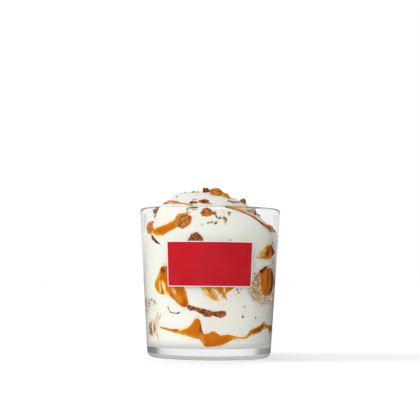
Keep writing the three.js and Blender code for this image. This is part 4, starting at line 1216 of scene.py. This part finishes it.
def make_label():
    """A thin printed label with rounded corners, bent to the glass."""
    middle, half_height = (LABEL_BOTTOM + LABEL_TOP) / 2, (LABEL_TOP - LABEL_BOTTOM) / 2
    per_degree = math.radians(1) * outer_radius(middle)
    half_width = LABEL_HALF_ANGLE * per_degree
    near = np.array([0, 0.04, 0.12, 0.24, 0.4, 0.44, 0.56, 0.62, 0.8])
    inner = np.linspace(1.2 - half_width, half_width - 1.2, 118)
    share = np.linspace(0, 1, 60)[1:-1]
    rings, insets = [], []
    for x in np.concatenate([near - half_width, inner, half_width - near[::-1]]):
        to_side = half_width - abs(x)
        cut = LABEL_CORNER - math.sqrt(LABEL_CORNER**2 - max(LABEL_CORNER - to_side, 0) ** 2)
        tall = half_height - cut
        up = np.concatenate([near[:-1] - tall, mix(0.8 - tall, tall - 0.8, share), (tall - near[:-1])[::-1]])
        to_edge = half_height - abs(up)
        in_corner = (to_side < LABEL_CORNER) & (to_edge < LABEL_CORNER)
        rounded = LABEL_CORNER - np.hypot(LABEL_CORNER - to_side, LABEL_CORNER - to_edge)
        insets += [np.where(in_corner, rounded, np.minimum(to_side, to_edge)), 0 * up]
        back = outer_radius(middle + up) + GAP / 2
        faces = [polar(x / per_degree, radius, middle + up) for radius in (back + LABEL_THICKNESS, back)]
        rings.append(np.concatenate([faces[0], faces[1][::-1]]))
    inset = np.concatenate([*insets, [0, 0]])
    piece("label_sticker", *skin(rings), "paper", label_finish(), {"inset": inset}, ["label"])


# ---- making the studio ----
def make_floor():
    """A white floor that the camera sees bright, with a soft shadow, and the glass mirrors dark."""
    f = Finish("floor_finish")
    path = f.node("LightPath").outputs
    diffuse = path["Diffuse Depth"]
    dull_white = {"Specular_IOR_Level": 0.0, "Emission_Color": (1, 1, 1, 1)}
    bright = f.surface(f.ramp(f.noise(40, 2), FLOOR_TONES), 0.8, Emission_Strength=0.2, **dull_white)
    tone = f.ramp(diffuse, [(0.0, FLOOR_MIRRORED), (1.0, FLOOR_LIGHTING)])
    dim = f.surface(tone, 0.9, Emission_Strength=f.spread(diffuse, 0, 1, 0.0, 0.6), **dull_white)
    mirrored = f.math("SUBTRACT", path["Glossy Depth"], f.times(path["Transmission Depth"], INSIDE_GLASS))
    looked_at = f.math("LESS_THAN", f.plus(diffuse, f.math("MAXIMUM", mirrored, 0)), 0.5)
    mesh = bpy.data.meshes.new("floor")
    corners = [(x * FLOOR_REACH, y * FLOOR_REACH, 0) for x, y in ((-1, -1), (1, -1), (1, 1), (-1, 1))]
    mesh.from_pydata(corners, [], [(0, 1, 2, 3)])
    mesh.materials.append(f.finish(f.either(looked_at, dim, bright)))
    floor = placed("floor", mesh)


def make_world():
    """A white room, with dark sides for what glass bends or mirrors, and a dim right side as a light."""
    world = bpy.data.worlds.new("studio")
    bpy.context.scene.world = world
    f = Finish("studio", world)
    sides = f.node("SeparateXYZ", Vector=f.place).outputs
    path = f.node("LightPath").outputs

    def level(axis, stops):
        return f.ramp(f.spread(sides[axis], -1, 1), [(share, (value,) * 3) for share, value in stops])

    def background(strength):
        return f.node("Background", Color=(1, 1, 1, 1), Strength=strength)

    lit = background(f.times(level("X", LIT_BY_SIDE), level("Y", LIT_BY_DEPTH)))
    bent = background(f.times(level("X", BENT_BY_SIDE), level("Y", BENT_BY_DEPTH)))
    mirrored = background(level("Y", MIRRORED_BY_DEPTH))
    outside = f.math("MULTIPLY_ADD", path["Transmission Depth"], -INSIDE_GLASS, path["Glossy Depth"])
    chosen = f.either(f.above(outside), bent, mirrored)
    chosen = f.either(f.above(path["Diffuse Depth"]), chosen, lit)
    f.finish(f.either(f.above(path["Is Camera Ray"]), chosen, background(1.0)))


def make_lamps():
    for name, energy, origin, width, glossy in LAMPS:
        lamp = bpy.data.lights.new(name, "SUN")
        lamp.energy = energy
        lamp.angle = math.radians(width)
        made = placed(name, lamp)
        made.rotation_euler = Vector(origin).to_track_quat("Z", "Y").to_euler()
        made.visible_glossy = glossy


def make_camera():
    camera = bpy.data.cameras.new("camera")
    camera.sensor_width = 36
    camera.lens = LENS
    camera.clip_end = 50
    made = placed("camera", camera)
    pitch = Matrix.Rotation(math.radians(90 + CAMERA_PITCH), 4, "X")
    roll = Matrix.Rotation(math.radians(CAMERA_ROLL), 4, "Z")
    made.matrix_world = Matrix.Translation((CAMERA_ASIDE, -CAMERA_DISTANCE, CAMERA_HEIGHT)) @ pitch @ roll
    bpy.context.scene.camera = made


# ---- the part ----
caramel = caramel_finish("caramel_finish", 0.12, 0.0)
drizzle = caramel_finish("drizzle_finish", 0.5, 0.5)
biscuit = biscuit_finish()
crumb = crumb_finish()
wall_map = WallMap()
make_glass()
for index, (name, stations) in enumerate(CARAMEL_LAYERS.items()):
    make_layer(name, stations, index, caramel)
for index, (name, stations) in enumerate(CRUMB_LAYERS.items()):
    make_crumb_layer(name, stations, crumb, 90 + 13 * index, wall_map)
for index, name in enumerate(sorted(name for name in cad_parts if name.startswith("biscuit_"))):
    make_biscuit(name, biscuit, 200 + 11 * index, wall_map)
make_cream(wall_map)
make_crumbs(crumb)
make_drizzles(drizzle)
make_threads("caramel_threads", SAUCE_THREADS, "caramel", caramel, "edge", "dark")
make_threads("crumb_threads", CRUMB_THREADS, "crumb", crumb, "grain")
make_label()

make_floor()
make_world()
make_lamps()
make_camera()
bpy.context.scene.view_settings.view_transform = "Standard"
